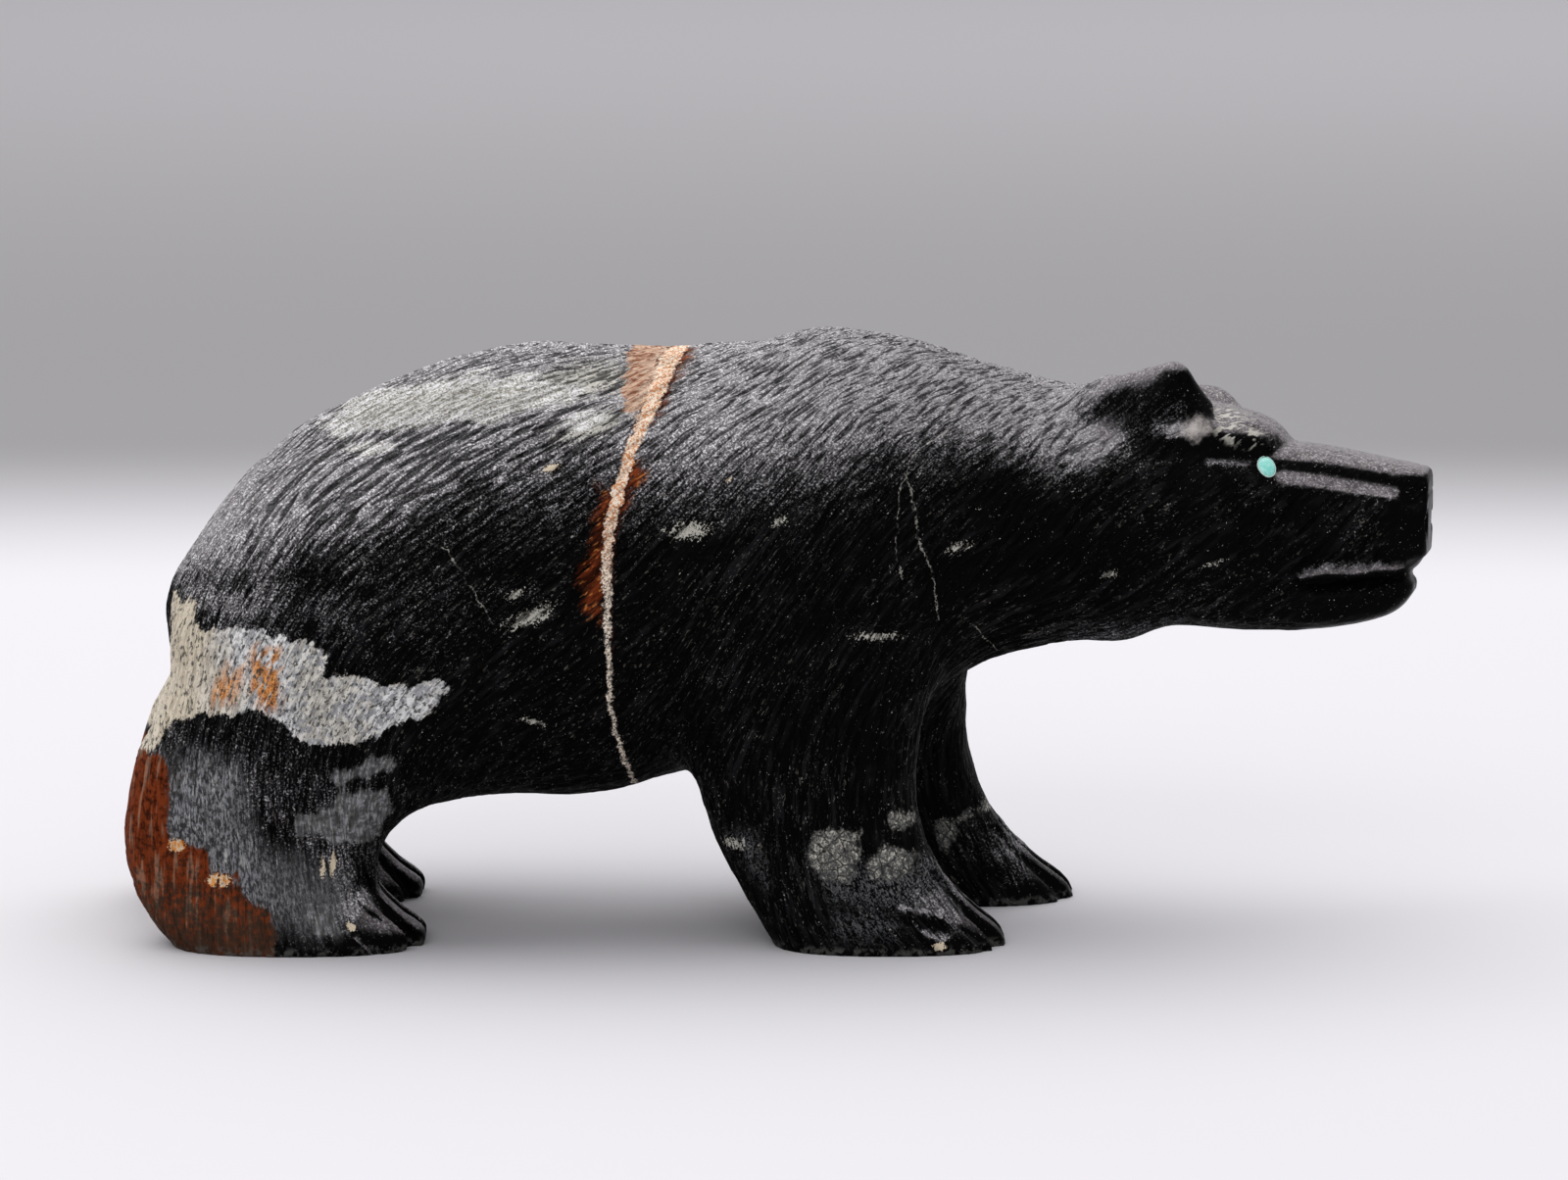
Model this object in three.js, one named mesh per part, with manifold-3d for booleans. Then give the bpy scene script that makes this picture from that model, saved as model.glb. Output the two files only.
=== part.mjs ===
// A walking bear carved from one dark stone, in the manner of a Zuni fetish, with turquoise eyes.
// Millimetres, +Z up, +X towards the head. The origin is on the ground under the middle of the bear.

import * as THREE from 'three';
import { mergeVertices } from 'three/addons/utils/BufferGeometryUtils.js';
import Module from 'manifold-3d';

// Driving dimensions
const length = 115;        // from the right heel to the nose
const eyeWidth = 1.8;      // an inlay, along the head
const eyeHeight = 2.05;    // an inlay, across the head
const eyeDepth = 1.3;      // how deep an inlay is set in the stone
const eyeCrown = 0.3;      // how far its polished dome rises over its rim
const glueGap = 0.3;       // line of glue round an inlay

// Finish of the meshed stone
const cell = length / 190;     // grid of the first mesh
const stoneTriangles = 9200;   // kept when that mesh is thinned

// The bear's form is drawn in hundredths of its length.
const share = length / 100;
const degrees = Math.PI / 180;
const RIGHT = -1;
const LEFT = 1;
const { clamp, smoothstep } = THREE.MathUtils;

// How the head is carried: turned to the bear's right and leaned a little
const headYaw = 9.5 * degrees;
const headLean = 4 * degrees;
const headPivot = new THREE.Vector3(24, 0, 32);

// The left side steps with its front foot ahead and its hind foot a little behind.
const frontStride = 6.0;
const hindStride = -1.2;
const swingHeight = 46;        // where a leg swings from, so its step fades upwards

// Fields: a number below zero is inside the form, above zero outside, about a distance.

const farOff = 6;              // past this a form needs no true distance

// Joins two forms with a fillet between them.
function blend(a, b, fillet) {
  const overlap = Math.max(fillet - Math.abs(a - b), 0);
  return Math.min(a, b) - overlap * overlap / (4 * fillet);
}

// Takes form b out of form a with a softened edge.
function carve(a, b, fillet) {
  return -blend(-a, b, fillet);
}

// A limb with round ends whose radius changes from its start to its end.
function limb(start, end, startRadius, endRadius) {
  const [ax, ay, az] = start;
  const bx = end[0] - ax;
  const by = end[1] - ay;
  const bz = end[2] - az;
  const reach = bx * bx + by * by + bz * bz;
  return (x, y, z) => {
    const along = ((x - ax) * bx + (y - ay) * by + (z - az) * bz) / reach;
    const t = clamp(along, 0, 1);
    const dx = x - ax - t * bx;
    const dy = y - ay - t * by;
    const dz = z - az - t * bz;
    return Math.sqrt(dx * dx + dy * dy + dz * dz) - startRadius - t * (endRadius - startRadius);
  };
}

// An ellipsoid whose front is pitched up by an angle.
function mass(centre, radii, pitch = 0) {
  const [cx, cy, cz] = centre;
  const [rx, ry, rz] = radii;
  const cos = Math.cos(pitch);
  const sin = Math.sin(pitch);
  return (x, y, z) => {
    const u = ((x - cx) * cos + (z - cz) * sin) / rx;
    const v = (y - cy) / ry;
    const w = ((z - cz) * cos - (x - cx) * sin) / rz;
    const ratio = Math.sqrt(u * u + v * v + w * w);
    const slope = Math.sqrt((u / rx) ** 2 + (v / ry) ** 2 + (w / rz) ** 2);
    return ratio * (ratio - 1) / Math.max(slope, 1e-6);
  };
}

// One value of the stations as a smooth curve, tabulated at even steps from the first to the last.
function tabulate(stations, index, steps) {
  const first = stations[0][0];
  const last = stations.at(-1)[0];
  const values = new Float64Array(steps + 1);
  let k = 1;
  for (let i = 0; i <= steps; i++) {
    const place = first + (last - first) * i / steps;
    while (place > stations[k][0] && k < stations.length - 1) k++;
    const low = stations[k - 1];
    const high = stations[k];
    const before = stations[Math.max(k - 2, 0)];
    const after = stations[Math.min(k + 1, stations.length - 1)];
    const gap = high[0] - low[0];
    const slopeLow = (high[index] - before[index]) / (high[0] - before[0]);
    const slopeHigh = (after[index] - low[index]) / (after[0] - low[0]);
    const s = (place - low[0]) / gap;
    const lift = s * (1 - s) * ((1 - s) * slopeLow - s * slopeHigh) * gap;
    values[i] = low[index] + s * s * (3 - 2 * s) * (high[index] - low[index]) + lift;
  }
  return values;
}

const sample = (values, i, s) => values[i] + s * (values[i + 1] - values[i]);

// A form lofted through rounded sections. A station is [place, low, high, side low, side high].
// squareness 2 gives ovals, more gives squarer sections; capFillet rounds the two ends.
function loft(stations, squareness, capFillet) {
  const steps = 240;
  const first = stations[0][0];
  const last = stations.at(-1)[0];
  const [lows, highs, sideLows, sideHighs] = [1, 2, 3, 4].map((index) => tabulate(stations, index, steps));
  return (place, up, side) => {
    const cap = Math.max(first - place, place - last);
    if (cap > farOff) return cap;
    const t = clamp((place - first) / (last - first), 0, 1) * steps;
    const i = Math.min(Math.floor(t), steps - 1);
    const low = sample(lows, i, t - i);
    const high = sample(highs, i, t - i);
    const sideLow = sample(sideLows, i, t - i);
    const sideHigh = sample(sideHighs, i, t - i);
    const halfUp = (high - low) / 2;
    const halfSide = (sideHigh - sideLow) / 2;
    const awayUp = Math.abs(up - (low + high) / 2);
    const awaySide = Math.abs(side - (sideLow + sideHigh) / 2);
    const awayFromBox = Math.max(awayUp - halfUp, awaySide - halfSide);
    if (awayFromBox > farOff) return awayFromBox;
    const u = awayUp / halfUp;
    const v = awaySide / halfSide;
    const un = u ** (squareness - 1);
    const vn = v ** (squareness - 1);
    const ratio = Math.max((un * u + vn * v) ** (1 / squareness), 1e-3);
    const slope = Math.sqrt((un / halfUp) ** 2 + (vn / halfSide) ** 2) / ratio ** (squareness - 1);
    const wall = (ratio - 1) / Math.max(slope, 1e-3);
    return carve(wall, -cap, capFillet);
  };
}

// The trunk and neck, along X: [x, belly, back, right flank, left flank]
const trunkLoft = loft([
  [-46.4, 21.0, 27.6, -5.5, 5.5],
  [-43.5, 17.8, 31.4, -9.3, 9.3],
  [-40, 15.2, 35.6, -11.8, 11.8],
  [-35, 12.8, 39.4, -13.5, 13.5],
  [-29, 11.0, 42.2, -14.5, 14.5],
  [-22, 10.1, 44.4, -14.9, 14.9],
  [-15, 10.1, 44.8, -14.9, 14.9],
  [-8, 11.6, 44.5, -14.4, 14.4],
  [-2, 13.2, 45.0, -13.8, 13.8],
  [4, 14.8, 46.0, -13.0, 13.0],
  [10, 17.2, 45.2, -12.2, 12.2],
  [16, 20.4, 43.4, -11.4, 11.4],
  [22, 22.0, 41.4, -10.8, 10.8],
  [28, 22.7, 40.4, -10.3, 9.7],
], 2.15, 3);

// The hind leg, up Z: [z, heel, toes and shin, inner side, outer side]
const hindLegLoft = loft([
  [-3, -45.6, -27.8, 3.2, 15.0],
  [0, -46.2, -26.9, 3.2, 15.0],
  [1.3, -47.2, -27.0, 3.3, 14.9],
  [2.8, -48.2, -28.9, 3.5, 14.7],
  [4.6, -49.0, -30.4, 3.8, 14.3],
  [8, -49.8, -30.2, 3.8, 14.2],
  [11, -49.6, -28.4, 3.2, 14.8],
  [15, -48.4, -24.8, 1.6, 15.6],
  [20, -46.0, -21.5, 0.0, 15.8],
  [25, -44.5, -22.0, 0.0, 14.8],
], 2.5, 3);

// The front leg, up Z
const frontLegLoft = loft([
  [-3, 0.2, 17.2, 3.4, 14.8],
  [0, -0.4, 17.4, 3.4, 14.8],
  [1.3, -1.1, 16.8, 3.5, 14.7],
  [2.8, -2.0, 15.0, 3.7, 14.5],
  [5, -3.2, 12.9, 4.0, 14.0],
  [8, -4.7, 11.3, 4.0, 13.8],
  [12, -6.0, 10.5, 3.2, 14.4],
  [17, -7.2, 10.8, 1.4, 15.2],
  [23, -8.0, 10.8, 0.0, 15.0],
], 2.5, 3);

// The head's own forms, along X before it is turned: [x, chin side, crown side, right, left]
const skullLoft = loft([
  [18, 23.2, 40.6, -9.0, 9.0],
  [24, 22.9, 40.9, -9.6, 9.6],
  [30, 23.2, 40.9, -9.5, 9.5],
  [34, 23.8, 40.3, -8.9, 8.9],
  [37, 24.4, 38.6, -7.8, 7.8],
  [39.6, 25.4, 36.6, -6.2, 6.2],
], 2.2, 2);

const muzzleLoft = loft([
  [32, 27.0, 36.2, -7.8, 7.8],
  [36, 26.9, 37.2, -7.0, 7.0],
  [39, 26.9, 37.5, -6.2, 6.2],
  [42, 27.1, 37.3, -5.6, 5.6],
  [46, 27.6, 36.6, -4.9, 4.9],
  [50.1, 28.7, 35.8, -4.1, 4.1],
], 3.4, 0.5);

const jawLoft = loft([
  [31, 24.4, 29.2, -6.8, 6.8],
  [36, 23.3, 27.9, -6.2, 6.2],
  [40, 23.3, 27.4, -5.4, 5.4],
  [44, 23.7, 27.4, -4.8, 4.8],
  [47, 24.5, 27.6, -4.1, 4.1],
  [49.1, 25.8, 27.8, -3.2, 3.2],
], 3.2, 1.4);

// Flutes that part four claws. They run down the front of a foot to the ground and fan out.
function clawFlutes(topX, topZ, groundX) {
  const flutes = 3;
  const middleY = 8.9;
  const spacing = 2.5;
  return Array.from({ length: flutes }, (_, i) => {
    const away = (i - (flutes - 1) / 2) * spacing;
    const setBack = 0.08 * away ** 2;
    const top = [topX - setBack, middleY + away, topZ];
    const ground = [groundX - setBack, middleY + 1.15 * away, -0.3];
    return limb(top, ground, 0.55, 0.8);
  });
}

const hindFlutes = clawFlutes(-30.8, 5.0, -26.6);
const frontFlutes = clawFlutes(12.4, 5.8, 17.9);

const haunch = mass([-32.4, 7.2, 22.4], [12.2, 8.6, 13.0]);
const shoulder = mass([2.4, 6.8, 27.6], [10.0, 8.4, 12.6], -10 * degrees);
const tail = mass([-45.0, 0, 25.0], [2.1, 3.0, 3.6], -12 * degrees);

function leg(form, flutes, x, outward, z) {
  const flutesTop = 6;
  if (z > flutesTop) return form;
  return flutes.reduce((left, flute) => carve(left, flute(x, outward, z), 0.3), form);
}

// Joins the legs and muscles of both sides to a form.
function addLegs(form, x, y, z) {
  const outward = Math.abs(y);
  const swing = smoothstep(y, -3, 3) * (1 - z / swingHeight);
  const hindX = x - hindStride * swing;
  const frontX = x - frontStride * swing;
  const hind = leg(hindLegLoft(z, hindX, outward), hindFlutes, hindX, outward, z);
  const front = leg(frontLegLoft(z, frontX, outward), frontFlutes, frontX, outward, z);
  const muscles = Math.min(haunch(hindX, outward, z), shoulder(frontX, outward, z));
  return blend(blend(form, muscles, 5), Math.min(hind, front), 3.2);
}

// Turns a point into the head's own frame.
const headPose = new THREE.Matrix4()
  .makeTranslation(headPivot)
  .multiply(new THREE.Matrix4().makeRotationFromEuler(new THREE.Euler(-headLean, 0, -headYaw, 'ZYX')))
  .multiply(new THREE.Matrix4().makeTranslation(headPivot.clone().negate()));
const headFrame = headPose.clone().invert().elements;

const brow = limb([31.5, 7.0, 38.6], [37.3, 5.6, 37.8], 1.2, 0.6);
const eyeHollow = mass([36.6, 7.7, 36.5], [4.0, 1.4, 1.2], -4 * degrees);
const lip = limb([41.0, 5.3, 27.8], [48.4, 4.0, 28.7], 0.65, 0.5);
const mouthSlit = limb([40.4, 5.9, 26.7], [49.6, 4.1, 27.7], 0.5, 0.55);
const bridgeGroove = limb([39.6, 4.9, 36.8], [48.0, 3.8, 35.3], 0.8, 0.7);
const noseScoop = mass([49.0, 4.6, 34.0], [1.2, 1.0, 1.2]);
const noseGroove = limb([47.4, 5.0, 34.0], [47.8, 4.9, 30.0], 0.5, 0.5);
const nostril = mass([50.0, 2.9, 31.8], [0.7, 0.9, 1.0]);
const lipNotch = limb([50.4, -5, 28.4], [50.4, 5, 28.4], 0.9, 0.9);

// An ear: a ridge out of the neck to the tip, a front edge down to the brow, and a cup between.
// The ground under the ear's rim is hollowed as well, so that the rim stands out.
function ear(ahead, drop) {
  const tip = [31.3 + ahead, 6.9 - ahead / 3, 42.9 - drop];
  const cupTop = [31.9 + ahead, 7.9, 42.3 - drop];
  const cupFoot = [31.8 + ahead, 8.9, 40.0 - drop];
  return {
    ridge: limb([25.0, 5.5, 39.7], tip, 2.4, 0.8),
    root: mass([30.2 + ahead, 6.0, 39.6 - drop / 2], [3.3, 2.6, 3.0]),
    front: limb(tip, [33.5, 5.5, 40.0 - drop / 2], 0.8, 0.8),
    cup: limb(cupTop, cupFoot, 0.5, 2.0),
    underRim: limb([31.6 + ahead, 8.9, 39.9 - drop], [27.2, 9.6, 37.3], 1.9, 1.3),
  };
}
const ears = { [RIGHT]: ear(0, 0), [LEFT]: ear(1.7, 2.9) };   // the left ear is blunter and lower

function head(worldX, worldY, worldZ) {
  const m = headFrame;
  const x = m[0] * worldX + m[4] * worldY + m[8] * worldZ + m[12];
  const y = m[1] * worldX + m[5] * worldY + m[9] * worldZ + m[13];
  const z = m[2] * worldX + m[6] * worldY + m[10] * worldZ + m[14];
  const outward = Math.abs(y);
  const earForm = ears[y < 0 ? RIGHT : LEFT];
  let form = blend(skullLoft(x, z, y), jawLoft(x, z, y), 2);
  form = blend(form, muzzleLoft(x, z, y), 1.5);
  form = blend(form, brow(x, outward, z), 1.2);
  form = blend(form, lip(x, outward, z), 0.4);
  form = blend(form, earForm.root(x, outward, z), 1.5);
  form = blend(form, earForm.ridge(x, outward, z), 1.5);
  form = blend(form, earForm.front(x, outward, z), 0.8);
  form = carve(form, earForm.cup(x, outward, z), 0.4);
  form = carve(form, earForm.underRim(x, outward, z), 0.5);
  form = carve(form, eyeHollow(x, outward, z), 0.5);
  form = carve(form, bridgeGroove(x, outward, z), 0.4);
  form = carve(form, mouthSlit(x, outward, z), 0.25);
  form = carve(form, lipNotch(x, y, z), 0.3);
  form = carve(form, noseScoop(x, outward, z), 0.3);
  form = carve(form, noseGroove(x, outward, z), 0.25);
  return carve(form, nostril(x, outward, z), 0.25);
}

// The whole bear in hundredths of its length
function bear(x, y, z) {
  const form = addLegs(blend(trunkLoft(x, z, y), tail(x, y, z), 1.2), x, y, z);
  return x > 12 ? blend(form, head(x, y, z), 2.5) : form;
}

// The same in millimetres
function stone(x, y, z) {
  return bear(x / share, y / share, z / share) * share;
}

function stoneNormal(point) {
  const step = 0.05 * share;
  const { x, y, z } = point;
  return new THREE.Vector3(
    stone(x + step, y, z) - stone(x - step, y, z),
    stone(x, y + step, z) - stone(x, y - step, z),
    stone(x, y, z + step) - stone(x, y, z - step),
  ).normalize();
}

// Samples a field on a grid. A block of cells far from the surface takes its middle's value.
function sampleGrid(field, low, counts) {
  const block = 6;
  const farAway = 1.5 * block * cell;
  const [nx, ny, nz] = counts;
  const values = new Float32Array(nx * ny * nz);
  const at = (axis, index) => low[axis] + index * cell;
  for (let k0 = 0; k0 < nz; k0 += block) {
    for (let j0 = 0; j0 < ny; j0 += block) {
      for (let i0 = 0; i0 < nx; i0 += block) {
        const middle = field(at(0, i0 + block / 2), at(1, j0 + block / 2), at(2, k0 + block / 2));
        const isFar = Math.abs(middle) > farAway;
        for (let k = k0; k < Math.min(k0 + block, nz); k++) {
          for (let j = j0; j < Math.min(j0 + block, ny); j++) {
            for (let i = i0; i < Math.min(i0 + block, nx); i++) {
              values[(k * ny + j) * nx + i] = isFar ? middle : field(at(0, i), at(1, j), at(2, k));
            }
          }
        }
      }
    }
  }
  return values;
}

// The twelve edges of a cell, each along one axis at one of four offsets, as pairs of corner bits
const cellEdges = [0, 1, 2].flatMap((axis) => [0, 1, 2, 3].map((offset) => {
  const low = ((offset & 1) << (axis + 1) % 3) | ((offset >> 1) << (axis + 2) % 3);
  return [low, low | (1 << axis)];
}));

// For one pattern of inside corners, numbers the separate sheets that cross a cell, by cell edge.
function sheetsOf(pattern) {
  const isInside = (corner) => (pattern >> corner) & 1;
  const group = [0, 1, 2, 3, 4, 5, 6, 7];
  const join = (a, b) => {
    const [from, to] = [group[a], group[b]];
    group.forEach((value, corner) => { if (value === from) group[corner] = to; });
  };
  for (let a = 0; a < 8; a++) {
    for (let b = 0; b < a; b++) {
      const apart = [1, 2, 4].filter((bit) => (a ^ b) & bit).length;
      const together = isInside(a) === isInside(b);
      if (together && (apart === 1 || (apart === 2 && !isInside(a)))) join(a, b);
    }
  }
  const names = [];
  return cellEdges.map(([a, b]) => {
    if (isInside(a) === isInside(b)) return -1;
    const name = isInside(a) ? group[a] * 8 + group[b] : group[b] * 8 + group[a];
    if (!names.includes(name)) names.push(name);
    return names.indexOf(name);
  });
}

// Meshes a sampled field by surface nets: one vertex for each sheet of surface in a cell.
function surfaceNet(values, low, counts) {
  const [nx, ny, nz] = counts;
  const hop = [1, nx, nx * ny];
  const cornerHops = Array.from({ length: 8 }, (_, c) => (c & 1) + ((c >> 1) & 1) * nx + (c >> 2) * hop[2]);
  const sheetTable = Array.from({ length: 256 }, (_, pattern) => sheetsOf(pattern));
  const vertexOf = new Int32Array(12 * values.length).fill(-1);
  const points = [];
  for (let k = 0; k < nz - 1; k++) {
    for (let j = 0; j < ny - 1; j++) {
      for (let i = 0; i < nx - 1; i++) {
        const n = i + j * hop[1] + k * hop[2];
        let pattern = 0;
        for (let c = 0; c < 8; c++) if (values[n + cornerHops[c]] < 0) pattern |= 1 << c;
        if (pattern === 0 || pattern === 255) continue;
        const sheets = sheetTable[pattern];
        const middles = [];
        for (let e = 0; e < 12; e++) {
          if (sheets[e] < 0) continue;
          const [a, b] = cellEdges[e];
          const [fa, fb] = [values[n + cornerHops[a]], values[n + cornerHops[b]]];
          const middle = middles[sheets[e]] ??= { sum: new THREE.Vector3(), crossings: 0, edges: [] };
          middle.sum.x += i + (a & 1);
          middle.sum.y += j + ((a >> 1) & 1);
          middle.sum.z += k + (a >> 2);
          middle.sum.setComponent(e >> 2, middle.sum.getComponent(e >> 2) + fa / (fa - fb));
          middle.crossings++;
          middle.edges.push(e);
        }
        for (const { sum, crossings, edges } of middles) {
          for (const e of edges) vertexOf[12 * n + e] = points.length;
          points.push(sum.toArray().map((value, axis) => low[axis] + cell * value / crossings));
        }
      }
    }
  }
  const triangles = [];
  for (let k = 1; k < nz - 1; k++) {
    for (let j = 1; j < ny - 1; j++) {
      for (let i = 1; i < nx - 1; i++) {
        const n = i + j * hop[1] + k * hop[2];
        const inside = values[n] < 0;
        for (let axis = 0; axis < 3; axis++) {
          if (inside === values[n + hop[axis]] < 0) continue;
          const u = hop[(axis + 1) % 3];
          const v = hop[(axis + 2) % 3];
          const cells = [[n, 0], [n - u, 1], [n - u - v, 3], [n - v, 2]];
          const quad = cells.map(([place, offset]) => vertexOf[12 * place + 4 * axis + offset]);
          if (!inside) quad.reverse();
          triangles.push([quad[0], quad[1], quad[2]], [quad[0], quad[2], quad[3]]);
        }
      }
    }
  }
  return { points, triangles };
}

// Moves each vertex along the field's slope until it lies on the surface.
function settle(points, passes) {
  const point = new THREE.Vector3();
  for (const place of points) {
    for (let pass = 0; pass < passes; pass++) {
      point.fromArray(place);
      const step = clamp(stone(...place), -cell / 2, cell / 2);
      point.addScaledVector(stoneNormal(point), -step).toArray(place);
    }
  }
}

// A heap of edge collapses with the cheapest on top
class Heap {
  items = [];

  push(item) {
    const { items } = this;
    let i = items.push(item) - 1;
    while (i > 0) {
      const parent = (i - 1) >> 1;
      if (items[parent].cost <= item.cost) break;
      items[i] = items[parent];
      i = parent;
    }
    items[i] = item;
  }

  pop() {
    const { items } = this;
    const top = items[0];
    const item = items.pop();
    if (!items.length) return top;
    let i = 0;
    for (let child = 1; child < items.length; child = 2 * i + 1) {
      if (child + 1 < items.length && items[child + 1].cost < items[child].cost) child++;
      if (items[child].cost >= item.cost) break;
      items[i] = items[child];
      i = child;
    }
    items[i] = item;
    return top;
  }
}

// The squared distance from a plane, as the ten numbers of a symmetric 4 by 4 matrix
function planeQuadric(normal, offset, weight) {
  const parts = [...normal.toArray(), offset];
  const terms = parts.flatMap((a, i) => parts.slice(i).map((b) => a * b * weight));
  return Float64Array.from(terms);
}

function addQuadrics(a, b) {
  const sum = new Float64Array(10);
  for (let i = 0; i < 10; i++) sum[i] = a[i] + b[i];
  return sum;
}

function quadricCost(q, x, y, z) {
  const across = q[0] * x * x + q[4] * y * y + q[7] * z * z;
  const mixed = q[1] * x * y + q[2] * x * z + q[5] * y * z;
  return across + 2 * (mixed + q[3] * x + q[6] * y + q[8] * z) + q[9];
}

// The point that costs least for a quadric, or the edge's middle where that is badly placed
function quadricBest(q, start, end) {
  const middle = start.clone().add(end).multiplyScalar(0.5);
  const matrix = new THREE.Matrix3(q[0], q[1], q[2], q[1], q[4], q[5], q[2], q[5], q[7]);
  const size = q[0] + q[4] + q[7];
  if (Math.abs(matrix.determinant()) < 1e-5 * size ** 3) return middle;
  const best = new THREE.Vector3(-q[3], -q[6], -q[8]).applyMatrix3(matrix.invert());
  return best.distanceToSquared(middle) < start.distanceToSquared(end) ? best : middle;
}

// Thins a closed mesh by collapsing the edges that change its shape least.
function thin(net, wanted) {
  const crumb = 0.1 * cell;
  const points = net.points.map((place) => new THREE.Vector3().fromArray(place));
  const faces = net.triangles.map((triangle) => triangle.slice());
  const facesOf = points.map(() => new Set());
  const quadrics = points.map(() => new Float64Array(10));
  const version = new Int32Array(points.length);
  const plane = new THREE.Plane();
  const face = new THREE.Triangle();
  const before = new THREE.Triangle();
  const after = new THREE.Triangle();
  const oldNormal = new THREE.Vector3();
  const newNormal = new THREE.Vector3();
  faces.forEach((corners, index) => {
    face.set(...corners.map((corner) => points[corner]));
    face.getPlane(plane);
    const quadric = planeQuadric(plane.normal, plane.constant, face.getArea());
    for (const corner of corners) {
      facesOf[corner].add(index);
      quadrics[corner] = addQuadrics(quadrics[corner], quadric);
    }
  });
  const neighbours = (vertex) => {
    const found = new Set();
    for (const index of facesOf[vertex]) for (const corner of faces[index]) found.add(corner);
    found.delete(vertex);
    return found;
  };
  const heap = new Heap();
  const offer = (a, b) => {
    const quadric = addQuadrics(quadrics[a], quadrics[b]);
    const place = quadricBest(quadric, points[a], points[b]);
    const shortening = 1e-5 * points[a].distanceToSquared(points[b]);
    const cost = quadricCost(quadric, place.x, place.y, place.z) + shortening;
    heap.push({ cost, a, b, place, quadric, stamp: version[a] + version[b] });
  };
  // Says whether moving a vertex would fold one of its faces or make it a sliver.
  const folds = (vertex, other, place) => {
    for (const index of facesOf[vertex]) {
      const corners = faces[index];
      if (corners.includes(other)) continue;
      const places = corners.map((corner) => (corner === vertex ? place : points[corner]));
      before.set(...corners.map((corner) => points[corner])).getNormal(oldNormal);
      after.set(...places).getNormal(newNormal);
      const longest = Math.max(...places.map((corner, i) => corner.distanceTo(places[(i + 1) % 3])));
      if (oldNormal.dot(newNormal) < 0.4 || after.getArea() < 0.03 * longest ** 2) return true;
    }
    return false;
  };
  points.forEach((_, a) => { for (const b of neighbours(a)) if (a < b) offer(a, b); });
  let left = faces.length;
  while (left > wanted && heap.items.length) {
    const { a, b, place, quadric, stamp } = heap.pop();
    if (stamp !== version[a] + version[b] || !facesOf[a].size || !facesOf[b].size) continue;
    const around = neighbours(b);
    const shared = [...neighbours(a)].filter((vertex) => around.has(vertex));
    if (!around.has(a) || shared.length !== 2) continue;
    const isCrumb = points[a].distanceTo(points[b]) < crumb;
    if (!isCrumb && (folds(a, b, place) || folds(b, a, place))) continue;
    for (const index of facesOf[b]) {
      const corners = faces[index];
      if (corners.includes(a)) {
        for (const corner of corners) if (corner !== b) facesOf[corner].delete(index);
        faces[index] = null;
        left--;
      } else {
        corners[corners.indexOf(b)] = a;
        facesOf[a].add(index);
      }
    }
    facesOf[b].clear();
    points[a] = place;
    quadrics[a] = quadric;
    version[a]++;
    for (const vertex of neighbours(a)) offer(a, vertex);
  }
  return { points, triangles: faces.filter(Boolean) };
}

// Solids are joined and cut here.
const wasm = await Module();
wasm.setup();

function solidOf({ points, triangles }) {
  const used = new Map();
  for (const corner of triangles.flat()) if (!used.has(corner)) used.set(corner, used.size);
  const vertProperties = new Float32Array(used.size * 3);
  for (const [corner, place] of used) points[corner].toArray(vertProperties, place * 3);
  const triVerts = Uint32Array.from(triangles.flat(), (corner) => used.get(corner));
  return new wasm.Manifold(new wasm.Mesh({ numProp: 3, vertProperties, triVerts }));
}

function solidOfGeometry(geometry) {
  geometry.deleteAttribute('normal');
  geometry.deleteAttribute('uv');
  const merged = mergeVertices(geometry, 1e-4);
  const mesh = new wasm.Mesh({
    numProp: 3,
    vertProperties: Float32Array.from(merged.attributes.position.array),
    triVerts: Uint32Array.from(merged.index.array),
  });
  return new wasm.Manifold(mesh);
}

function geometryOf(solid) {
  const { vertProperties, triVerts } = solid.getMesh();
  const geometry = new THREE.BufferGeometry();
  geometry.setAttribute('position', new THREE.BufferAttribute(vertProperties, 3));
  geometry.setIndex(new THREE.BufferAttribute(triVerts, 1));
  geometry.computeVertexNormals();
  return geometry;
}

// The stone before its soles are ground flat and its eyes are set
function roughStone() {
  const low = [-52, -18, -3.6].map((value) => value * share);
  const high = [52, 18, 48].map((value) => value * share);
  const counts = low.map((value, axis) => Math.ceil((high[axis] - value) / cell));
  const net = surfaceNet(sampleGrid(stone, low, counts), low, counts);
  settle(net.points, 2);
  return solidOf(thin(net, stoneTriangles));
}

// Everything below the ground, which is ground away to leave four flat soles
function groundCut() {
  const depth = 8 * share;
  const geometry = new THREE.BoxGeometry(1.4 * length, length, depth);
  geometry.translate(0, 0, -depth / 2);
  return solidOfGeometry(geometry);
}

// Finds where a line from outside the head meets it, and the pose of an inlay there.
function eyePose(side) {
  const seat = new THREE.Vector3(38.1, 14 * side, 36.0).applyMatrix4(headPose).multiplyScalar(share);
  const inwards = new THREE.Vector3(0, -side, 0).transformDirection(headPose);
  while (stone(seat.x, seat.y, seat.z) > 0.002) {
    seat.addScaledVector(inwards, Math.max(stone(seat.x, seat.y, seat.z), 0.002) / 2);
  }
  const outwards = stoneNormal(seat);
  const forwards = new THREE.Vector3(1, 0, 0).transformDirection(headPose);
  const upwards = new THREE.Vector3().crossVectors(outwards, forwards).normalize();
  forwards.crossVectors(upwards, outwards);
  return new THREE.Matrix4().makeBasis(forwards, upwards, outwards).setPosition(seat);
}

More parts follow.
